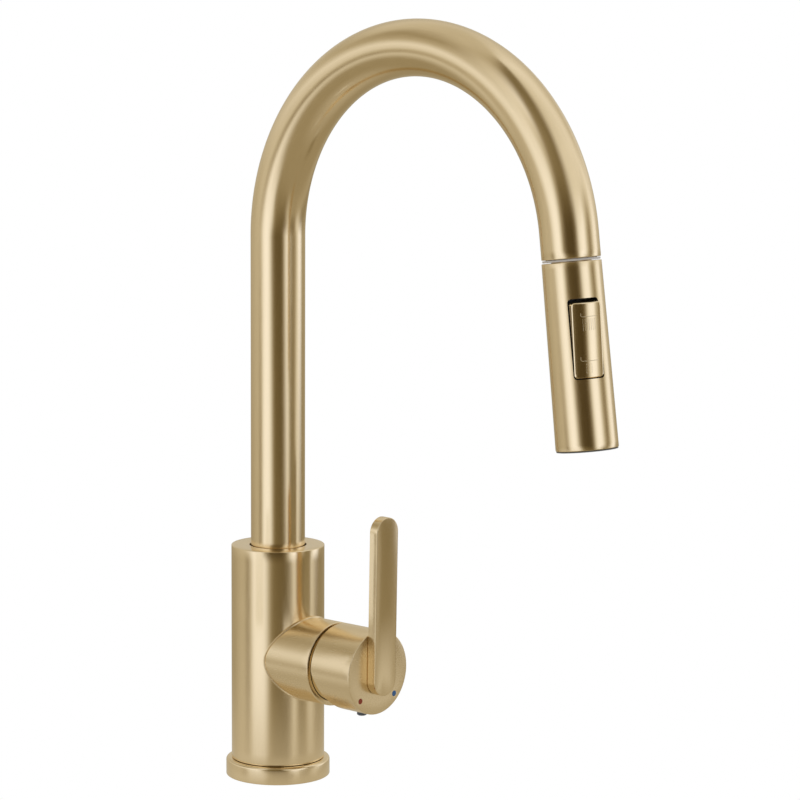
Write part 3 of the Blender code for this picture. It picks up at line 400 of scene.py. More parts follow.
def moulded(name, colour, roughness, grain=0.06, scale=900.0, metallic=0.0, kind="Object"):
    """Moulded or ground surface: a fine grain and slight tone changes."""
    material = bpy.data.materials.new(name)
    nodes = Nodes(material)
    nodes.shader.inputs["Metallic"].default_value = metallic
    grains = nodes.noise(nodes.coordinates(kind, (scale, scale, scale)), 1.0, 3.0, 0.6)
    clouds = nodes.noise(nodes.coordinates(kind, (70.0, 70.0, 70.0)), 1.0, 2.0)
    dark, light = tints(colour, grain)
    nodes.link(nodes.blend_colours(nodes.spread(clouds, 0, 1), dark, light),
               nodes.shader.inputs["Base Color"])
    nodes.link(nodes.spread(grains, roughness - 0.05, roughness + 0.07),
               nodes.shader.inputs["Roughness"])
    nodes.bump(grains, 0.08, 0.03 * MM)
    return material


def braid_look():
    """Diagonal weave of black nylon with grey flecks, from UV in metres."""
    material = bpy.data.materials.new("nylon_braid")
    nodes = Nodes(material)
    place = nodes.add("ShaderNodeTexCoord")
    split = nodes.add("ShaderNodeSeparateXYZ")
    nodes.link(place.outputs["UV"], split.inputs["Vector"])
    strands = 20
    turns = strands / HOSE_R
    waves = []
    for sign in (1.0, -1.0):
        slope = nodes.sum(split.outputs["Y"], sign * turns, "MULTIPLY")
        phase = nodes.sum(nodes.sum(split.outputs["X"], turns, "MULTIPLY"), slope)
        waves.append(nodes.sum(phase, 0.0, "SINE"))
    weave = nodes.sum(waves[0], waves[1], "MULTIPLY")
    nodes.link(nodes.blend_colours(nodes.spread(weave, 0, 1, -1, 1), (0.012, 0.012, 0.013),
                                   (0.10, 0.10, 0.105)), nodes.shader.inputs["Base Color"])
    nodes.link(nodes.spread(weave, 0.45, 0.65, -1, 1), nodes.shader.inputs["Roughness"])
    nodes.bump(weave, 0.6, 0.15 * MM)
    return material


GOLD = (0.87, 0.72, 0.47)
GOLD_ROUND = brushed_metal("brushed_gold_round", GOLD, 0.19)
GOLD_FLAT = brushed_metal("brushed_gold_flat", GOLD, 0.20)
GOLD_SOFT = brushed_metal("brushed_gold_soft", GOLD, 0.26, depth=0.001, fade=0.012)
GOLD_ETCHED = moulded("etched_gold", (0.88, 0.78, 0.58), 0.5, metallic=1.0)
BRASS = brushed_metal("turned_brass", (0.74, 0.55, 0.28), 0.3, kind="Object")
STEEL = brushed_metal("stainless_steel", (0.60, 0.60, 0.59), 0.28, kind="Object")
ACETAL = moulded("white_acetal", (0.80, 0.79, 0.80), 0.35, grain=0.03)
GREY_PLASTIC = moulded("grey_plastic", (0.16, 0.165, 0.17), 0.45)
CERAMIC_LOOK = moulded("ceramic", (0.80, 0.79, 0.76), 0.18, grain=0.02)
RUBBER_LOOK = moulded("black_rubber", (0.018, 0.018, 0.019), 0.7, grain=0.2)
SILICONE_LOOK = moulded("grey_silicone", (0.17, 0.18, 0.19), 0.55, grain=0.1)
SLATE_LOOK = moulded("slate_plug", (0.13, 0.16, 0.22), 0.45, grain=0.1)
RED_LOOK = moulded("red_enamel", (0.36, 0.045, 0.012), 0.35, grain=0.08)
BLUE_LOOK = moulded("blue_enamel", (0.03, 0.15, 0.42), 0.35, grain=0.08)
BRAID_LOOK = braid_look()


# ---------------------------------------------------------------- foot and deck clamp

def make_foot():
    """Foot ring with a round top edge."""
    bore = SHANK_R + 0.6 * MM
    profile = [(bore, 0.0), (FLANGE_R, 0.0, 0.4 * MM), (FLANGE_R, FLANGE_H, 1.5 * MM),
               (bore, FLANGE_H)]
    add_piece("foot_ring", turned_mesh(profile, SIDES), GOLD_ROUND, "deck_body",
              ["base_flange"])


def thread_radius(turn, height):
    """Radius of a 2 mm pitch thread at a share of a turn and a height."""
    pitch, depth = 2.0 * MM, 1.0 * MM
    place = (height / pitch - turn) % 1.0
    return SHANK_R - depth * min(1.0, max(0.0, 2.4 * abs(2 * place - 1) - 0.7))


def make_shank():
    """Threaded shank with a real helix."""
    bore, edge, steps = 12.6 * MM, 0.25 * MM, SMALL
    rings = []
    count = int(-SHANK_BOTTOM / edge)
    for row in range(count + 1):
        z = SHANK_BOTTOM * (1 - row / count)
        lead = min(1.0, row * edge / (1.2 * MM))
        points = []
        for k in range(steps):
            a = 2 * pi * k / steps
            r = thread_radius(k / steps, z) * lead + (SHANK_R - 1.4 * MM) * (1 - lead)
            points.append(Vector((r * cos(a), r * sin(a), z)))
        rings.append(points)
    rings += [ring(SHANK_R, 0.3 * MM, steps, UPRIGHT),
              ring(SHANK_R, SHANK_TOP, steps, UPRIGHT),
              ring(bore, SHANK_TOP, steps, UPRIGHT),
              ring(bore, SHANK_BOTTOM, steps, UPRIGHT)]
    bm = bmesh.new()
    loft(bm, rings, closed=True)
    add_piece("threaded_shank", bm, BRASS, "deck_body", ["mounting_shank"])


def make_clamp():
    """Washers and the hexagon nut under the deck."""
    for node, look, slot in (("deck_rubber_washer", RUBBER_LOOK, "black_rubber"),
                             ("deck_steel_washer", STEEL, "stainless_steel")):
        low, high = size_of(node)
        bore, edge = SHANK_R + 0.5 * MM, 0.35 * MM
        profile = [(bore, low.z, edge), (high.x, low.z, edge), (high.x, high.z, edge),
                   (bore, high.z, edge)]
        add_piece(f"{node}_round", turned_mesh(profile, MEDIUM), look, "deck_body", [node])

    low, high = size_of("mounting_nut")
    bore, collar, flats, corners = SHANK_R + 0.5 * MM, high.x, 19.2 * MM, 23 * MM
    step = high.z - 3.0 * MM
    steps = 72

    def hexagon(z, limit):
        points = []
        for k in range(steps):
            a = 2 * pi * k / steps
            r = min(limit, flats / cos((a % (pi / 3)) - pi / 6))
            points.append(Vector((r * cos(a), r * sin(a), z)))
        return points

    rings = [ring(bore, high.z, steps, UPRIGHT), ring(collar, high.z, steps, UPRIGHT),
             ring(collar, step + 0.4 * MM, steps, UPRIGHT),
             ring(collar - 0.6 * MM, step, steps, UPRIGHT), hexagon(step, corners),
             hexagon(low.z + 1.2 * MM, corners), hexagon(low.z, 20.4 * MM),
             ring(bore, low.z, steps, UPRIGHT)]
    bm = bmesh.new()
    loft(bm, rings, closed=True)
    add_piece("hexagon_nut", bm, BRASS, "deck_body", ["mounting_nut"], sharp=20)


# ---------------------------------------------------------------- body and side housing

def make_body():
    """Column shell with a narrow lip at its top."""
    floor_bore, neck_bore, hole_r = SHANK_R + GAP, 17.9 * MM, 19.7 * MM
    lip_bottom, chamber_top, floor = BODY_TOP - 3.0 * MM, 84.5 * MM, 16.0 * MM
    profile = [(floor_bore, BODY_BOTTOM), (BODY_R, BODY_BOTTOM, 0.15 * MM),
               (BODY_R, BODY_TOP, 0.45 * MM), (LIP_BORE_R, BODY_TOP, 0.25 * MM),
               (LIP_BORE_R, lip_bottom), (neck_bore, lip_bottom), (neck_bore, chamber_top),
               (BODY_BORE_R, chamber_top), (BODY_BORE_R, floor), (floor_bore, floor)]
    body = add_piece("column_shell", turned_mesh(profile, SIDES, fine=6 * MM), GOLD_ROUND,
                     "deck_body", ["body_shell"])
    opening = bmesh.new()
    rod(opening, hole_r, 6.0 * MM, 40.0 * MM, MEDIUM, VALVE)
    cut(body, opening)


def make_housing():
    """Side housing: a tube saddled on the column, with a raised bead along the seam."""
    saddle_r, bore, edge = BODY_R + 0.12 * MM, 19.9 * MM, 0.45 * MM
    bead_r, bead_h = 0.62 * MM, 0.5 * MM

    def on_saddle(r):
        return lambda x, y: sqrt(saddle_r * saddle_r - (x * r / hypot(x, y)) ** 2)

    rings = [ring(bore, 0.0, SIDES, VALVE, on_saddle(bore))]
    for step in range(9):
        a = pi * step / 8
        r = HOUSING_R + bead_r * sin(a)
        rings.append(ring(r, bead_h * (1 - cos(a)), SIDES, VALVE, on_saddle(HOUSING_R)))
    start = 2 * bead_h

    def towards_front(share):
        saddle = on_saddle(HOUSING_R)
        last = HOUSING_FRONT - edge
        return lambda x, y: (saddle(x, y) + start) * (1 - share) + last * share

    rings += [ring(HOUSING_R, 0.0, SIDES, VALVE, towards_front(0.004))]
    rings += [ring(HOUSING_R, 0.0, SIDES, VALVE, towards_front(k / 6)) for k in range(1, 7)]
    rings += [ring(HOUSING_R - edge + edge * cos(a), HOUSING_FRONT - edge + edge * sin(a), SIDES,
                   VALVE) for a in (pi / 8, pi / 4, 3 * pi / 8, pi / 2)]
    rings.append(ring(bore, HOUSING_FRONT, SIDES, VALVE))
    bm = bmesh.new()
    loft(bm, rings, closed=True)
    add_piece("valve_housing", bm, GOLD_SOFT, "deck_body", ["side_housing"])


def make_dome():
    """Dome over the cartridge, seen in the gap behind the cap."""
    out, dome_r, wall = -PIVOT.y, 23.2 * MM, 1.4 * MM
    foot_r, crown_r, back = 19.6 * MM, 15.0 * MM, 43.4 * MM
    first, last = asin(foot_r / dome_r), asin(crown_r / dome_r)
    angles = [first + (last - first) * k / 8 for k in range(9)]
    outside = [(dome_r * sin(a), out + dome_r * cos(a)) for a in angles]
    inside = [((dome_r - wall) * sin(a), out + (dome_r - wall) * cos(a)) for a in reversed(angles)]
    profile = [(foot_r, back), *outside, *inside, (inside[-1][0], back)]
    add_piece("cartridge_dome", turned_mesh(profile, MEDIUM, VALVE), GOLD_ROUND, "deck_body",
              ["trim_dome"])


# ---------------------------------------------------------------- handle

def lean(_, y):
    """How far the handle's face stands forward at a height over the valve's axis."""
    return y * tan(HANDLE_LEAN)


def make_cap():
    """Handle cap: leaning face, round edge, and a lower half cut back for the tilt."""
    edge, rim, bore, plate = 0.45 * MM, 0.25 * MM, 20.6 * MM, 70.5 * MM
    boss_r, boss_back, socket_r, socket_floor = 8.0 * MM, 58.5 * MM, 4.2 * MM, 69.5 * MM

    def rear(x, y):
        return max(0.0, -y) * tan(LIFT_MAX)

    def between(share):
        return lambda x, y: rear(x, y) * (1 - share) + lean(x, y) * share

    front = CAP_FACE - edge
    rings = [ring(r, CAP_FACE, SIDES, VALVE, lean) for r in (0, 4 * MM, 10 * MM, 16 * MM)]
    rings += [ring(CAP_R - edge + edge * sin(a), front + edge * cos(a), SIDES, VALVE, lean)
              for a in (pi / 2 * k / 4 for k in range(5))]
    back = CAP_BACK + rim
    rings += [ring(CAP_R, front + (back - front) * k / 6, SIDES, VALVE, between(1 - k / 6))
              for k in range(1, 7)]
    rings += [ring(r, CAP_BACK, SIDES, VALVE, rear) for r in (CAP_R - rim, bore)]
    rings += [ring(r, z, SIDES, VALVE) for r, z in (
        (bore, plate), (boss_r, plate), (boss_r, boss_back), (socket_r, boss_back),
        (socket_r, socket_floor), (0, socket_floor))]
    bm = bmesh.new()
    loft(bm, rings)
    cap = add_piece("cap", bm, GOLD_SOFT, "handle", ["handle_cap"])
    tools = bmesh.new()
    for side in (-1, 1):
        place = VALVE @ Matrix.Translation((side * DOT_X, DOT_Z - PIVOT.z, 0))
        rod(tools, DOT_R + 0.05 * MM, CAP_FACE - MM, CAP_FACE + MM, 24, place)
    rod(tools, 2.75 * MM, -30 * MM, -18 * MM, 24, VALVE @ along_y(0, 0, SCREW_OUT))
    cut(cap, tools)


def stadium(half_width, low, high, steps=24):
    """Outline of a bar with round ends, as (x, y) points."""
    top = [(half_width * cos(pi * k / steps), high - half_width + half_width * sin(pi * k / steps))
           for k in range(steps + 1)]
    return top + [(-x, low + high - y) for x, y in top]


def make_lever():
    """Flat lever with round ends and softened edges, standing on the cap's face."""
    edge, groove = 0.28 * MM, 0.4 * MM
    place = (VALVE @ Matrix.Translation((0, 0, CAP_FACE))
             @ Matrix.Rotation(HANDLE_LEAN, 4, "X"))
    low, high = LEVER_BOTTOM - PIVOT.z, LEVER_TOP - PIVOT.z

    def outline(inset, z):
        return [place @ Vector((x, y, z)) for x, y in
                stadium(LEVER_HALF_W - inset, low + inset, high - inset)]

    rings = [outline(groove, -0.05 * MM), outline(groove, groove), outline(0.0, groove),
             outline(0.0, LEVER_T / 2)]
    rings += [outline(edge * (1 - cos(a)), LEVER_T - edge + edge * sin(a))
              for a in (pi / 2 * k / 3 for k in range(4))]
    bm = bmesh.new()
    loft(bm, rings)
    layer = bm.loops.layers.uv.verify()
    bm.verts.ensure_lookup_table()
    count = len(rings[0])
    inverse = place.inverted()
    for first in (0, len(bm.verts) - count):
        face = bm.faces.new([bm.verts[first + k] for k in range(count)])
        for loop in face.loops:
            local = inverse @ loop.vert.co
            loop[layer].uv = (local.x, local.y)
    add_piece("flat_lever", bm, GOLD_FLAT, "handle", ["lever"], sharp=40)


def make_marks():
    """Hot and cold marks and the plug over the set screw."""
    height = DOT_Z - PIVOT.z
    for name, node, side, look, slot in (("hot_dot", "hot_mark", -1, RED_LOOK, "red_enamel"),
                                         ("cold_dot", "cold_mark", 1, BLUE_LOOK, "blue_enamel")):
        place = VALVE @ Matrix.Translation((side * DOT_X, height, CAP_FACE + lean(0, height)))
        profile = [(0.0, -0.5 * MM), (DOT_R, -0.5 * MM), (DOT_R, 0.05 * MM, 0.05 * MM),
                   (0.9 * MM, 0.1 * MM), (0.0, 0.12 * MM)]
        add_piece(name, turned_mesh(profile, 32, place), look, "handle", [node])
    place = VALVE @ along_y(0, 0, SCREW_OUT)
    plug_r, inner = 2.6 * MM, -20.1 * MM
    outer = size_of("set_screw_plug")[0].z - PIVOT.z
    profile = [(0.0, outer), (1.9 * MM, outer + 0.05 * MM), (plug_r, outer + 0.5 * MM),
               (plug_r, inner), (0.0, inner)]
    add_piece("screw_plug", turned_mesh(profile, 32, place), SLATE_LOOK, "handle",
              ["set_screw_plug"])


# ---------------------------------------------------------------- spout

def arc_point(angle):
    """Centre line of the arc and its direction, in the plane X = 0."""
    place = Vector((0, -ARC_R + ARC_R * cos(angle), ARC_CENTRE_Z + ARC_R * sin(angle)))
    return place, Vector((0, -sin(angle), cos(angle)))


def spout_line(bottom, column_parts, arc_parts, outlet_parts, past_end=0.0):
    """Stations (place, direction) up the column, round the arc and out of the outlet."""
    up = Vector((0, 0, 1))
    line = [(Vector((0, 0, bottom + (ARC_CENTRE_Z - bottom) * k / column_parts)), up)
            for k in range(column_parts)]
    line += [arc_point(ARC_ANGLE * k / arc_parts) for k in range(arc_parts + 1)]
    last, heading = line[-1]
    length = OUTLET_LENGTH + past_end
    line += [(last + heading * length * k / outlet_parts, heading)
             for k in range(1, outlet_parts + 1)]
    return line


def circle_at(place, heading, radius, sides):
    """Circle across a line in the plane X = 0."""
    across = Vector((1, 0, 0))
    other = heading.cross(across)
    return [place + radius * (cos(a) * across + sin(a) * other)
            for a in (2 * pi * k / sides for k in range(sides))]


def make_spout():
    """Bent tube, open at both ends, with softened end edges."""
    edge = 0.35 * MM
    line = spout_line(TUBE_BOTTOM, 12, 120, 3)
    end, heading = line.pop()
    rings = [circle_at(place, way, TUBE_R, MEDIUM) for place, way in line]
    rings += [circle_at(end - heading * edge * (1 - sin(a)), heading,
                        TUBE_R - edge * (1 - cos(a)), MEDIUM) for a in (pi / 2 * k / 4
                                                                       for k in range(5))]
    inner = [(end, heading)] + list(reversed(spout_line(TUBE_BOTTOM, 4, 40, 1)))[1:]
    rings += [circle_at(place, way, TUBE_BORE_R, MEDIUM) for place, way in inner]
    bm = bmesh.new()
    loft(bm, rings, closed=True)
    add_piece("gooseneck", bm, GOLD_ROUND, "spout", ["spout_tube"])


def make_dock():
    """White docking bush whose rim shows between spout and spray head."""
    bore, spigot, rim = COUPLING_R + 0.4 * MM, TUBE_BORE_R - 0.35 * MM, 14.2 * MM
    profile = [(bore, 12.0 * MM), (bore, -1.3 * MM), (rim, -1.3 * MM, 0.3 * MM),
               (rim, -GAP, 0.2 * MM), (spigot, -GAP), (spigot, 12.0 * MM)]
    add_piece("dock_ring", turned_mesh(profile, MEDIUM, SPRAY), ACETAL, "spout", ["dock_bush"])


# ---------------------------------------------------------------- hose

def make_hose():
    """Braided hose: a stretch that stays in the spout, and an end towards the spray head that rides on
    no body.

    The end's UV runs ahead towards the coupling, so that the braid keeps its scale when the
    head is pulled out."""
    travel = JOINTS["spray_pull"]["range_m"][1]
    column_parts, arc_parts, outlet_parts = 24, 72, 24
    line = spout_line(size_of("spray_hose")[0].z, column_parts, arc_parts, outlet_parts,
                      past_end=-3.0 * MM)
    split = column_parts + arc_parts - 6

    def stretch_of(stretch):
        bm = bmesh.new()
        rings = [circle_at(place, way, HOSE_R, 32) for place, way in stretch]
        loft(bm, [[stretch[0][0]]] + rings + [[stretch[-1][0]]])
        return bm

    add_piece("braided_hose", stretch_of(line[:split + 1]), BRAID_LOOK, "spout", ["spray_hose"])
    bm = stretch_of(line[split:])
    start, end = line[split][0], line[-1][0] - HEAD_AXIS * MM
    way = end - start
    layer = bm.loops.layers.uv.verify()
    for face in bm.faces:
        for loop in face.loops:
            share = min(1.0, max(0.0, (loop.vert.co - start).dot(way) / way.length_squared))
            loop[layer].uv.y += travel * share * share * (3 - 2 * share)
    hose = add_piece("braided_hose_end", bm, BRAID_LOOK, None, ["spray_hose"])
    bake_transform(hose)


def make_hose_fittings():
    """Brass swivel coupling above the spray head, and the hose's tail connector."""
    bore, way, cavity = HOSE_R + 0.1 * MM, 4.0 * MM, 8.0 * MM
    rim = 0.3 * MM
    grooves = []
    for k in range(3):
        z = (9.5 - 2.2 * k) * MM
        grooves += [(COUPLING_R, z, rim), (COUPLING_R - 0.6 * MM, z - 0.5 * MM),
                    (COUPLING_R - 0.6 * MM, z - 0.9 * MM), (COUPLING_R, z - 1.4 * MM, rim)]
    profile = [(bore, 14 * MM), (bore, 2.5 * MM), (way, 2.5 * MM), (way, MM), (cavity, MM),
               (cavity, -8 * MM), (COUPLING_R, -8 * MM, rim), *reversed(grooves),
               (COUPLING_R, 11.5 * MM, rim), (8.0 * MM, 14 * MM, rim)]
    add_piece("swivel_coupling", turned_mesh(profile, MEDIUM, SPRAY), BRASS, "hose_end",
              ["hose_coupling"])

    low, high = size_of("hose_tail_connector")
    collar = high.x
    ferrule = collar - MM
    ribs = []
    for k in range(4):
        z = high.z - (1.5 + 2.0 * k) * MM
        ribs += [(ferrule, z, 0.2 * MM), (ferrule - 0.5 * MM, z - 0.3 * MM),
                 (ferrule - 0.5 * MM, z - 0.9 * MM), (ferrule, z - 1.2 * MM, 0.2 * MM)]
    top, collar_top, collar_bottom = high.z, low.z + 18 * MM, low.z + 10 * MM
    profile = [(bore, top), (bore, low.z + 23.7 * MM), (3.5 * MM, low.z + 23.7 * MM),
               (3.5 * MM, low.z), (6 * MM, low.z, 0.6 * MM), (6 * MM, collar_bottom, rim),
               (collar, collar_bottom, rim), (collar, collar_top, rim),
               (ferrule, collar_top, rim), *reversed(ribs), (ferrule, top, rim)]
    add_piece("tail_connector", turned_mesh(profile, MEDIUM), BRASS, "deck_body",
              ["hose_tail_connector"])


# ---------------------------------------------------------------- spray head

def rounded_slot(bm, half_width, top, bottom, depth_from, depth_to, corner, matrix):
    """A round-cornered rectangle extruded along local -Y."""
    outline = []
    for x, z, turn in ((half_width, top, 0), (half_width, bottom, -90),
                       (-half_width, bottom, -180), (-half_width, top, -270)):
        cx = x - corner if x > 0 else x + corner
        cz = z - corner if z == top else z + corner
        for step in range(9):
            a = radians(turn + 90 - 90 * step / 8)
            outline.append((cx + corner * cos(a), cz + corner * sin(a)))
    middle = (top + bottom) / 2
    rings = [[matrix @ Vector((0, -depth_from, middle))],
             [matrix @ Vector((x, -depth_from, z)) for x, z in outline],
             [matrix @ Vector((x, -depth_to, z)) for x, z in outline],
             [matrix @ Vector((0, -depth_to, middle))]]
    loft(bm, rings)


def make_head():
    """Tapered shell of the spray head, with the rocker's opening."""
    hole, wall, lip = COUPLING_R + 0.5 * MM, 1.6 * MM, 2.0 * MM
    top, bottom = -HEAD_TOP + 0.5 * MM, -HEAD_BOTTOM - 0.2 * MM
    profile = [(hole, top), (HEAD_TOP_R, top, 0.3 * MM), (HEAD_BOTTOM_R, bottom, 0.35 * MM),
               (HEAD_BOTTOM_R - wall, bottom, 0.2 * MM), (HEAD_TOP_R - wall, top - lip),
               (hole, top - lip)]
    shell = add_piece("spray_head_shell", turned_mesh(profile, SIDES, SPRAY, fine=2.5 * MM),
                      GOLD_ROUND, "spray_head", ["spray_shell"])
    opening = bmesh.new()
    rounded_slot(opening, RECESS_HALF_W, -RECESS_TOP, -RECESS_BOTTOM, 9 * MM, 20 * MM, 1.8 * MM,
                 SPRAY @ Matrix.Rotation(ROCKER_TURN, 4, "Z"))
    cut(shell, opening)


def face_height(x):
    """Local y of the rocker's face, which follows the spray head's curve."""
    radius = HEAD_TOP_R + (HEAD_BOTTOM_R - HEAD_TOP_R) * 0.4
    return -ROCKER_FACE + radius - sqrt(radius * radius - x * x)


def make_rocker():
    """Rocker button: curved face, bright chamfer and side walls."""
    chamfer, corner, floor = 0.4 * MM, 1.6 * MM, 2.0 * MM
    half_w, half_l, arc = ROCKER_HALF_W - chamfer, ROCKER_HALF_L - chamfer, corner - chamfer
    flat_w, flat_l = half_w - arc, half_l - arc

    def reach(x):
        over = max(0.0, abs(x) - flat_w)
        return flat_l + sqrt(max(0.0, arc * arc - over * over))

    xs = [-flat_w - arc * sin(pi / 2 * (6 - k) / 6) for k in range(6)]
    xs += [flat_w * (k / 12 * 2 - 1) for k in range(13)]
    xs += [flat_w + arc * sin(pi / 2 * k / 6) for k in range(1, 7)]
    rows = 25
    bm = bmesh.new()
    layer = bm.loops.layers.uv.verify()
    grid = [[bm.verts.new(ROCKER @ Vector((x, face_height(x), reach(x) * (2 * j / (rows - 1) - 1))))
             for j in range(rows)] for x in xs]
    for a, b in zip(grid, grid[1:]):
        for j in range(rows - 1):
            bm.faces.new((a[j], b[j], b[j + 1], a[j + 1]))
    rim = [column[0] for column in grid] + grid[-1][1:]
    rim += [column[-1] for column in reversed(grid[:-1])] + list(reversed(grid[0][1:-1]))
    inverse = ROCKER.inverted()

    def wall_point(vert, out, depth):
        p = inverse @ vert.co
        core = Vector((max(-flat_w, min(flat_w, p.x)), 0, max(-flat_l, min(flat_l, p.z))))
        away = Vector((p.x, 0, p.z)) - core
        away = away.normalized() if away.length > 1e-9 else Vector((0, 0, 1))
        y = face_height(p.x) + depth if depth < MM else floor
        return ROCKER @ Vector((p.x + away.x * out, y, p.z + away.z * out))

    edge = [bm.verts.new(wall_point(vert, chamfer, chamfer)) for vert in rim]
    base = [bm.verts.new(wall_point(vert, chamfer, floor)) for vert in rim]
    for first, second in ((rim, edge), (edge, base)):
        for k in range(len(rim)):
            nxt = (k + 1) % len(rim)
            bm.faces.new((first[k], first[nxt], second[nxt], second[k]))
    bm.faces.new(base)
    for face in bm.faces:
        for loop in face.loops:
            local = inverse @ loop.vert.co
            loop[layer].uv = (local.x, local.z)
    add_piece("rocker", bm, rocker_look(), "rocker", ["rocker_button"], sharp=20)


def etch(bm, path, width):
    """A line on the rocker's face along (x, z) points, a hair proud of it."""
    lift, sink = 0.02 * MM, 0.05 * MM
    rings = []
    for k, (x, z) in enumerate(path):
        ahead, behind = path[min(k + 1, len(path) - 1)], path[max(k - 1, 0)]
        way = Vector((ahead[0] - behind[0], ahead[1] - behind[1])).normalized()
        side = Vector((-way.y, way.x)) * width / 2
        corners = [(x + side.x, z + side.y, -lift), (x - side.x, z - side.y, -lift),
                   (x - side.x, z - side.y, sink), (x + side.x, z + side.y, sink)]
        rings.append([ROCKER @ Vector((cx, face_height(cx) + y, cz)) for cx, cz, y in corners])
    centre_first = [sum(rings[0], Vector()) / 4]
    centre_last = [sum(rings[-1], Vector()) / 4]
    loft(bm, [centre_first] + rings + [centre_last])


def straight(x0, z0, x1, z1, parts=6):
    """Points along a straight line, ends included."""
    return [(x0 + (x1 - x0) * k / parts, z0 + (z1 - z0) * k / parts) for k in range(parts + 1)]


def rocker_look():
    """Brushed gold whose side walls are painted dark with shade where the recess hides them.

    Its shading normals are turned back by the rocker's rest tilt, so the face is shaded as if it lay
    along the spray head's own line."""
    material = brushed_metal("brushed_gold_rocker", GOLD, 0.17)
    nodes = Nodes(material)
    split = nodes.add("ShaderNodeSeparateXYZ")
    nodes.link(nodes.add("ShaderNodeTexCoord").outputs["UV"], split.inputs["Vector"])
    # mask for the painted shade: 1 on the face, falling to 0 on the side walls
    rim = ROCKER_HALF_W - 0.06 * MM
    wall = nodes.spread(nodes.sum(split.outputs["X"], 0.0, "ABSOLUTE"), 1.0, 0.0,
                        rim, ROCKER_HALF_W - 0.03 * MM)
    colour = nodes.shader.inputs["Base Color"]
    plain = colour.links[0].from_socket
    # painted shade: the side walls take a dark brown in place of the gold, standing in for the
    # recess's shade
    painted_shade = nodes.add("ShaderNodeMix", data_type="RGBA")
    painted_shade.inputs[6].default_value = (0.14, 0.10, 0.045, 1.0)
    nodes.link(plain, painted_shade.inputs[7])
    nodes.link(wall, painted_shade.inputs["Factor"])
    nodes.link(painted_shade.outputs[2], colour)
    turned = nodes.add("ShaderNodeVectorRotate", rotation_type="AXIS_ANGLE")
    turned.inputs["Axis"].default_value = ROCKER.to_3x3() @ Vector((1, 0, 0))
    turned.inputs["Angle"].default_value = -ROCKER_REST
    nodes.link(nodes.add("ShaderNodeTexCoord").outputs["Normal"], turned.inputs["Vector"])
    to_world = nodes.add("ShaderNodeVectorTransform", vector_type="NORMAL",
                         convert_from="OBJECT", convert_to="WORLD")
    nodes.link(turned.outputs["Vector"], to_world.inputs["Vector"])
    nodes.link(to_world.outputs["Vector"], nodes.shader.inputs["Normal"])
    return material


def make_rocker_marks():
    """Two generic pictograms: a spray of jets over a plain stream."""
    line = 0.28 * MM
    bm = bmesh.new()
    for top, left, right in ((11.6 * MM, -3.3 * MM, 4.6 * MM), (-9.9 * MM, -4.2 * MM, 4.5 * MM)):
        etch(bm, [(left, top + 1.9 * MM), (left, top + 0.5 * MM), (left + 0.5 * MM, top)]
             + straight(left + 0.6 * MM, top, right, top), line)
    for k in range(7):
        x = (-2.4 + k) * MM
        etch(bm, straight(x, 10.6 * MM, x, 4.8 * MM, 2), 0.16 * MM)
    for k in range(3):
        x = (-1.6 + 1.3 * k) * MM
        for row in range(4):
            z = (-11.2 - 1.3 * row) * MM
            etch(bm, straight(x, z, x, z - 0.75 * MM, 1), 0.2 * MM)
    add_piece("rocker_pictograms", bm, GOLD_ETCHED, "rocker", [])


def make_face():
    """Spray face: plate with nozzles, silicone nubs and the aerator's screen."""
    face, back, skirt_end = -93.2 * MM, -90.8 * MM, -83.0 * MM
    rim, under = HEAD_BOTTOM_R - 0.3 * MM, -HEAD_BOTTOM - 0.3 * MM
    profile = [(6.6 * MM, face, 0.2 * MM), (rim - 1.2 * MM, face),
               (rim - 0.8 * MM, face - 0.4 * MM, 0.2 * MM), (rim, face - 0.4 * MM, 0.2 * MM),
               (rim, under), (13.4 * MM, under), (13.4 * MM, skirt_end),
               (12.2 * MM, skirt_end), (12.2 * MM, back), (6.6 * MM, back)]
    plate = add_piece("spray_plate", turned_mesh(profile, MEDIUM, SPRAY), GREY_PLASTIC,
                      "spray_head", ["nozzle_plate"])
    holes, nubs = bmesh.new(), bmesh.new()
    for k in range(12):
        a = 2 * pi * k / 12
        place = SPRAY @ Matrix.Translation((10 * MM * cos(a), 10 * MM * sin(a), 0))
        rod(holes, 1.3 * MM, face - MM, back + MM, 20, place)
        tip = face - 0.1 * MM
        outline = round_corners([(0.0, tip + 0.35 * MM), (0.35 * MM, tip + 0.35 * MM),
                                 (0.4 * MM, tip), (0.8 * MM, tip, 0.15 * MM),
                                 (1.15 * MM, face + 0.4 * MM), (1.15 * MM, back), (0.0, back)])
        loft(nubs, [ring(r, z, 20, place) for r, z in outline])
    cut(plate, holes)
    collar = round_corners([(7.4 * MM, back + GAP), (11.8 * MM, back + GAP),
                            (11.8 * MM, back + 1.9 * MM), (7.4 * MM, back + 1.9 * MM)])
    loft(nubs, [ring(r, z, MEDIUM, SPRAY) for r, z in collar], closed=True)
    add_piece("silicone_nozzles", nubs, SILICONE_LOOK, "spray_head", ["nozzle_membrane"])

    screen = turned_mesh([(0.0, -84 * MM), (6.2 * MM, -84 * MM), (6.2 * MM, face + GAP, 0.3 * MM),
                          (5.4 * MM, face + GAP, 0.2 * MM), (5.4 * MM, face + 1.6 * MM),
                          (0.0, face + 1.6 * MM)], SMALL, SPRAY)
    pitch, thick = 1.3 * MM, 0.3 * MM
    for k in range(-3, 4):
        x = k * pitch
        half = sqrt((5.6 * MM) ** 2 - x * x)
        for turn in (0.0, pi / 2):
            place = SPRAY @ Matrix.Rotation(turn, 4, "Z")
            bar(screen, (x - thick / 2, -half, face + 0.6 * MM),
                (x + thick / 2, half, face + 1.7 * MM), place)
    add_piece("aerator_screen", screen, ACETAL, "spray_head", ["aerator"])


# ---------------------------------------------------------------- CAD nodes that stay

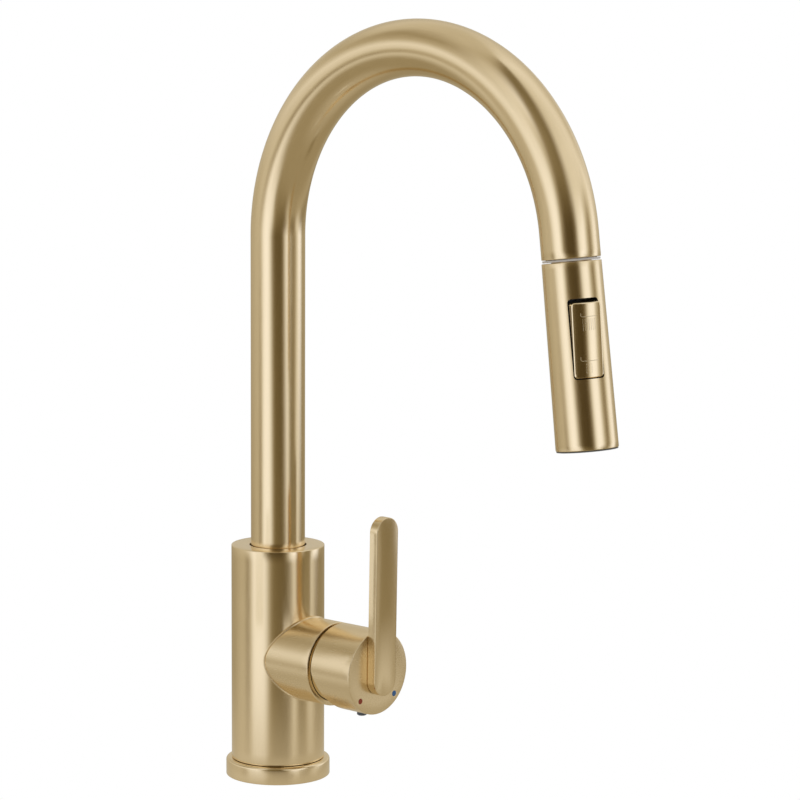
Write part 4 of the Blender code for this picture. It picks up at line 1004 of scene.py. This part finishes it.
KEPT_LOOKS = {
    "base_gasket": RUBBER_LOOK, "valve_body": BRASS, "cartridge_seal": RUBBER_LOOK,
    "cartridge_case": ACETAL, "fixed_ceramic_disc": CERAMIC_LOOK,
    "cartridge_retaining_nut": BRASS, "spout_upper_bush": ACETAL, "spout_lower_bush": ACETAL,
    "cartridge_turret": GREY_PLASTIC, "stem_pivot_pin": STEEL,
    "moving_ceramic_disc": CERAMIC_LOOK, "disc_carrier": GREY_PLASTIC, "cartridge_stem": STEEL,
    "handle_set_screw": STEEL, "spout_retaining_ring": STEEL, "coupling_washer": RUBBER_LOOK,
    "spray_core": GREY_PLASTIC, "spray_core_oring": RUBBER_LOOK, "check_valve": ACETAL,
    "rocker_pin": STEEL, "diverter_slide": ACETAL,
}


def dress_kept_nodes():
    """Give the CAD nodes that stay their finished materials."""
    for name, look in KEPT_LOOKS.items():
        node = frame["nodes"][name]
        if not node.material_slots:
            node.data.materials.append(look)
        for material_slot in node.material_slots:
            material_slot.material = look


# ---------------------------------------------------------------- stage, light and camera

CAMERA_PLACE = Vector((-1.12270, -1.12278, 0.41783))
CAMERA_RIGHT = Vector((0.67752, -0.73551, 0.0)).normalized()
CAMERA_PITCH = radians(7.668)       # down
CAMERA_ROLL = radians(0.306)
CAMERA_LENS = 134.91                # mm, on a 36 mm sensor


def make_camera():
    """Long lens about level with the faucet's top, looking slightly down."""
    data = bpy.data.cameras.new("camera")
    data.lens = CAMERA_LENS
    data.sensor_width = 36.0
    data.clip_start, data.clip_end = 0.05, 20.0
    camera = bpy.data.objects.new("camera", data)
    bpy.context.collection.objects.link(camera)
    level = Vector((-CAMERA_RIGHT.y, CAMERA_RIGHT.x, 0.0))
    forward = level * cos(CAMERA_PITCH) - Vector((0, 0, sin(CAMERA_PITCH)))
    up = level * sin(CAMERA_PITCH) + Vector((0, 0, cos(CAMERA_PITCH)))
    right = CAMERA_RIGHT * cos(CAMERA_ROLL) + up * sin(CAMERA_ROLL)
    top = up * cos(CAMERA_ROLL) - CAMERA_RIGHT * sin(CAMERA_ROLL)
    rotation = Matrix((right, top, -forward)).transposed()
    camera.matrix_world = Matrix.Translation(CAMERA_PLACE) @ rotation.to_4x4()
    bpy.context.scene.camera = camera


# Studio panorama: (degrees to the right of the direction to the camera, light level), at
# several heights. A height is the sine of the elevation over the horizon.
BANDS = (
    (-0.30, ((-180, 0.45), (-130, 0.46), (-106, 0.68), (-76, 0.74), (-56, 0.95), (-32, 0.95),
             (-20, 0.30), (25, 0.20), (38, 0.65), (60, 0.40), (110, 0.45), (180, 0.45))),
    (-0.19, ((-180, 0.40), (-147, 0.38), (-128, 0.42), (-100, 0.50), (-88, 0.48), (-83, 0.26),
             (-75, 0.20), (-68, 0.54), (-60, 1.05), (-34, 1.09), (-26, 1.00), (-20, 0.66),
             (-14, 0.32), (-7, 0.20), (2, 0.17), (25, 0.12), (33, 0.15), (38, 0.44), (43, 0.88),
             (49, 0.60), (56, 0.18), (66, 0.16), (75, 0.26), (83, 0.74), (92, 0.86),
             (101, 0.54), (112, 0.20), (128, 0.26), (180, 0.40))),
    (-0.075, ((-180, 0.45), (-147, 0.48), (-128, 0.54), (-102, 0.61), (-80, 0.56), (-72, 0.66),
              (-64, 0.98), (-50, 1.16), (-38, 1.15), (-31, 0.93), (-22, 0.28), (-12, 0.15),
              (14, 0.14), (21, 0.20), (28, 0.62), (35, 1.06), (43, 1.08), (50, 0.68),
              (57, 0.30), (68, 0.25), (80, 0.38), (91, 0.84), (102, 1.34), (113, 1.22),
              (124, 0.40), (180, 0.45))),
    (-0.01, ((-180, 0.54), (-150, 0.52), (-120, 0.51), (-105, 0.56), (-92, 0.68), (-78, 0.82),
             (-60, 1.09), (-45, 1.16), (-37, 0.85), (-30, 0.28), (-22, 0.10), (-12, 0.055),
             (10, 0.045), (18, 0.09), (24, 0.24), (30, 0.74), (36, 1.18), (44, 1.30),
             (56, 1.18), (65, 0.66), (74, 0.26), (84, 0.17), (93, 0.58), (102, 1.05),
             (118, 1.12), (130, 0.60), (180, 0.54))),
    (0.20, ((-180, 0.62), (-150, 0.60), (-122, 0.72), (-105, 0.86), (-60, 0.95), (-40, 1.00),
            (-28, 0.40), (-18, 0.14), (10, 0.09), (20, 0.16), (35, 0.90), (57, 1.10),
            (70, 0.60), (82, 0.32), (92, 0.60), (110, 1.00), (130, 0.80), (180, 0.62))),
    (0.42, ((-180, 0.55), (-140, 0.50), (-110, 0.48), (-78, 0.52), (-52, 0.90), (-32, 0.60),
            (-18, 0.25), (12, 0.20), (36, 0.80), (110, 0.86), (132, 0.60), (180, 0.55))),
    (0.64, ((-180, 0.66), (-150, 0.68), (-126, 0.62), (-110, 0.36), (-80, 0.36), (-60, 0.70),
            (-36, 1.00), (-22, 0.30), (12, 0.20), (36, 0.80), (110, 0.86), (132, 0.70),
            (180, 0.66))),
    (0.92, ((-180, 0.60), (-90, 0.60), (-52, 0.50), (-32, 0.20), (10, 0.20), (42, 0.70),
            (130, 0.90), (180, 0.60))),
)
BELOW = (-0.50, 0.36)               # height and level of the flat light under the horizon
FLOOR_GLOW = (0.60, 0.80, 0.26)     # floor in reflections: level, share at the foot, reach in m


def light_colour(level):
    """Light that is neutral near full level, warmer where it is dim and cooler where bright."""
    green, blue = (level / 0.95) ** 0.158, (level / 0.905) ** 0.593
    return (level, level * green, level * min(1.25, blue), 1.0)


def band_ramp(nodes, azimuth, band):
    """A colour ramp round the horizon."""
    ramp = nodes.add("ShaderNodeValToRGB")
    elements = ramp.color_ramp.elements
    while len(elements) > 1:
        elements.remove(elements[-1])
    for index, (degrees_right, level) in enumerate(band):
        place = (degrees_right + 180) / 360
        element = elements[0] if index == 0 else elements.new(place)
        element.position = place
        element.color = light_colour(level)
    nodes.link(azimuth, ramp.inputs["Fac"])
    return ramp.outputs["Color"]


def make_world():
    """Plain white to the camera; a soft studio panorama for light and reflections."""
    world = bpy.data.worlds.new("studio")
    bpy.context.scene.world = world
    nodes = Nodes(world)
    nodes.tree.nodes.clear()
    place = nodes.add("ShaderNodeTexCoord").outputs["Generated"]

    def along(direction):
        node = nodes.add("ShaderNodeVectorMath", operation="DOT_PRODUCT")
        nodes.link(place, node.inputs[0])
        node.inputs[1].default_value = direction
        return node.outputs["Value"]

    towards = Vector((CAMERA_RIGHT.y, -CAMERA_RIGHT.x, 0.0))
    angle = nodes.sum(along(CAMERA_RIGHT), along(towards), "ARCTAN2")
    azimuth = nodes.sum(nodes.sum(angle, 1 / (2 * pi), "MULTIPLY"), 0.5)
    height = along(Vector((0, 0, 1)))
    below, studio = BELOW[0], None
    for over, band in BANDS:
        mixer = nodes.add("ShaderNodeMix", data_type="RGBA")
        nodes.link(nodes.spread(height, 0.0, 1.0, below, over), mixer.inputs["Factor"])
        if studio:
            nodes.link(studio, mixer.inputs[6])
        else:
            mixer.inputs[6].default_value = light_colour(BELOW[1])
        nodes.link(band_ramp(nodes, azimuth, band), mixer.inputs[7])
        below, studio = over, mixer.outputs[2]
    lit, white = nodes.add("ShaderNodeBackground"), nodes.add("ShaderNodeBackground")
    nodes.link(studio, lit.inputs["Color"])
    white.inputs["Color"].default_value = (1, 1, 1, 1)
    camera_ray = nodes.add("ShaderNodeLightPath").outputs["Is Camera Ray"]
    seen = nodes.mix_shaders(camera_ray, lit, white)
    output = nodes.add("ShaderNodeOutputWorld")
    nodes.link(seen.outputs[0], output.inputs["Surface"])


def add_stage(name, bm, material):
    """An object that belongs to the studio."""
    mesh = bpy.data.meshes.new(name)
    bm.to_mesh(mesh)
    bm.free()
    mesh.materials.append(material)
    thing = bpy.data.objects.new(name, mesh)
    bpy.context.collection.objects.link(thing)
    return thing


def make_floor():
    """Pale round table top. Its reflection in the metal fades with the distance."""
    radius, drop = 1.8, -0.02 * MM      # wide enough to hide what is under the deck
    bm = bmesh.new()
    loft(bm, [ring(0, drop, MEDIUM, UPRIGHT), ring(radius, drop, MEDIUM, UPRIGHT)])
    material = bpy.data.materials.new("pale_floor")
    nodes = Nodes(material)
    nodes.tree.nodes.remove(nodes.shader)
    diffuse = nodes.add("ShaderNodeBsdfDiffuse")
    diffuse.inputs["Color"].default_value = (0.62, 0.58, 0.50, 1)
    white = nodes.add("ShaderNodeEmission")
    level, share, reach = FLOOR_GLOW
    glow = nodes.add("ShaderNodeEmission")
    glow.inputs["Color"].default_value = light_colour(level)
    clear = nodes.add("ShaderNodeBsdfTransparent")
    away = nodes.add("ShaderNodeVectorMath", operation="LENGTH")
    nodes.link(nodes.add("ShaderNodeTexCoord").outputs["Object"], away.inputs[0])
    fade = nodes.spread(away.outputs["Value"], share, 0.0, 0.0, reach)
    path = nodes.add("ShaderNodeLightPath")
    mirrored = nodes.mix_shaders(fade, clear, glow)
    lit = nodes.mix_shaders(path.outputs["Is Glossy Ray"], diffuse, mirrored)
    seen = nodes.mix_shaders(path.outputs["Is Camera Ray"], lit, white)
    nodes.link(seen.outputs[0], nodes.tree.nodes["Material Output"].inputs["Surface"])
    add_stage("floor", bm, material)


def make_panel(name, centre, half_width, low, high, levels):
    """Upright studio panel that faces the faucet, seen only in reflections.

    levels are its light at the lower and the upper edge."""
    material = bpy.data.materials.new(name)
    nodes = Nodes(material)
    nodes.tree.nodes.remove(nodes.shader)
    split = nodes.add("ShaderNodeSeparateXYZ")
    nodes.link(nodes.add("ShaderNodeTexCoord").outputs["Object"], split.inputs["Vector"])
    share = nodes.spread(split.outputs["Z"], 0.0, 1.0, low, high)
    colours = [light_colour(level)[:3] for level in levels]
    glow = nodes.add("ShaderNodeEmission")
    nodes.link(nodes.blend_colours(share, *colours), glow.inputs["Color"])
    nodes.link(glow.outputs[0], nodes.tree.nodes["Material Output"].inputs["Surface"])
    x, y = centre
    away = Vector((-y, x, 0)).normalized() * half_width
    corners = [Vector((x, y, z)) + away * side for side, z in
               ((-1, low), (1, low), (1, high), (-1, high))]
    bm = bmesh.new()
    bm.faces.new([bm.verts.new(corner) for corner in corners])
    panel = add_stage(name, bm, material)
    panel.visible_camera = False
    panel.visible_shadow = False
    panel.visible_diffuse = False


# ---------------------------------------------------------------- build

for make in (make_camera, make_foot, make_shank, make_clamp, make_body, make_housing, make_dome,
             make_cap, make_lever, make_marks, make_spout, make_dock, make_hose,
             make_hose_fittings, make_head, make_rocker, make_rocker_marks, make_face,
             dress_kept_nodes, make_world, make_floor):
    make()
make_panel("card_front_right_low", (0.080, -0.153), 0.028, 0.015, 0.066, (0.70, 0.29))
make_panel("card_front_right_high", (0.080, -0.153), 0.028, 0.066, 0.15, (0.29, 0.24))
make_panel("card_at_lever_corner", (-0.055, -0.118), 0.018, 0.030, 0.066, (0.70, 0.80))
make_panel("card_at_lever_side", (-0.081, -0.007), 0.012, 0.075, 0.135, (0.88, 0.98))
bpy.context.scene.view_settings.view_transform = "Standard"

bpy.context.view_layer.update()
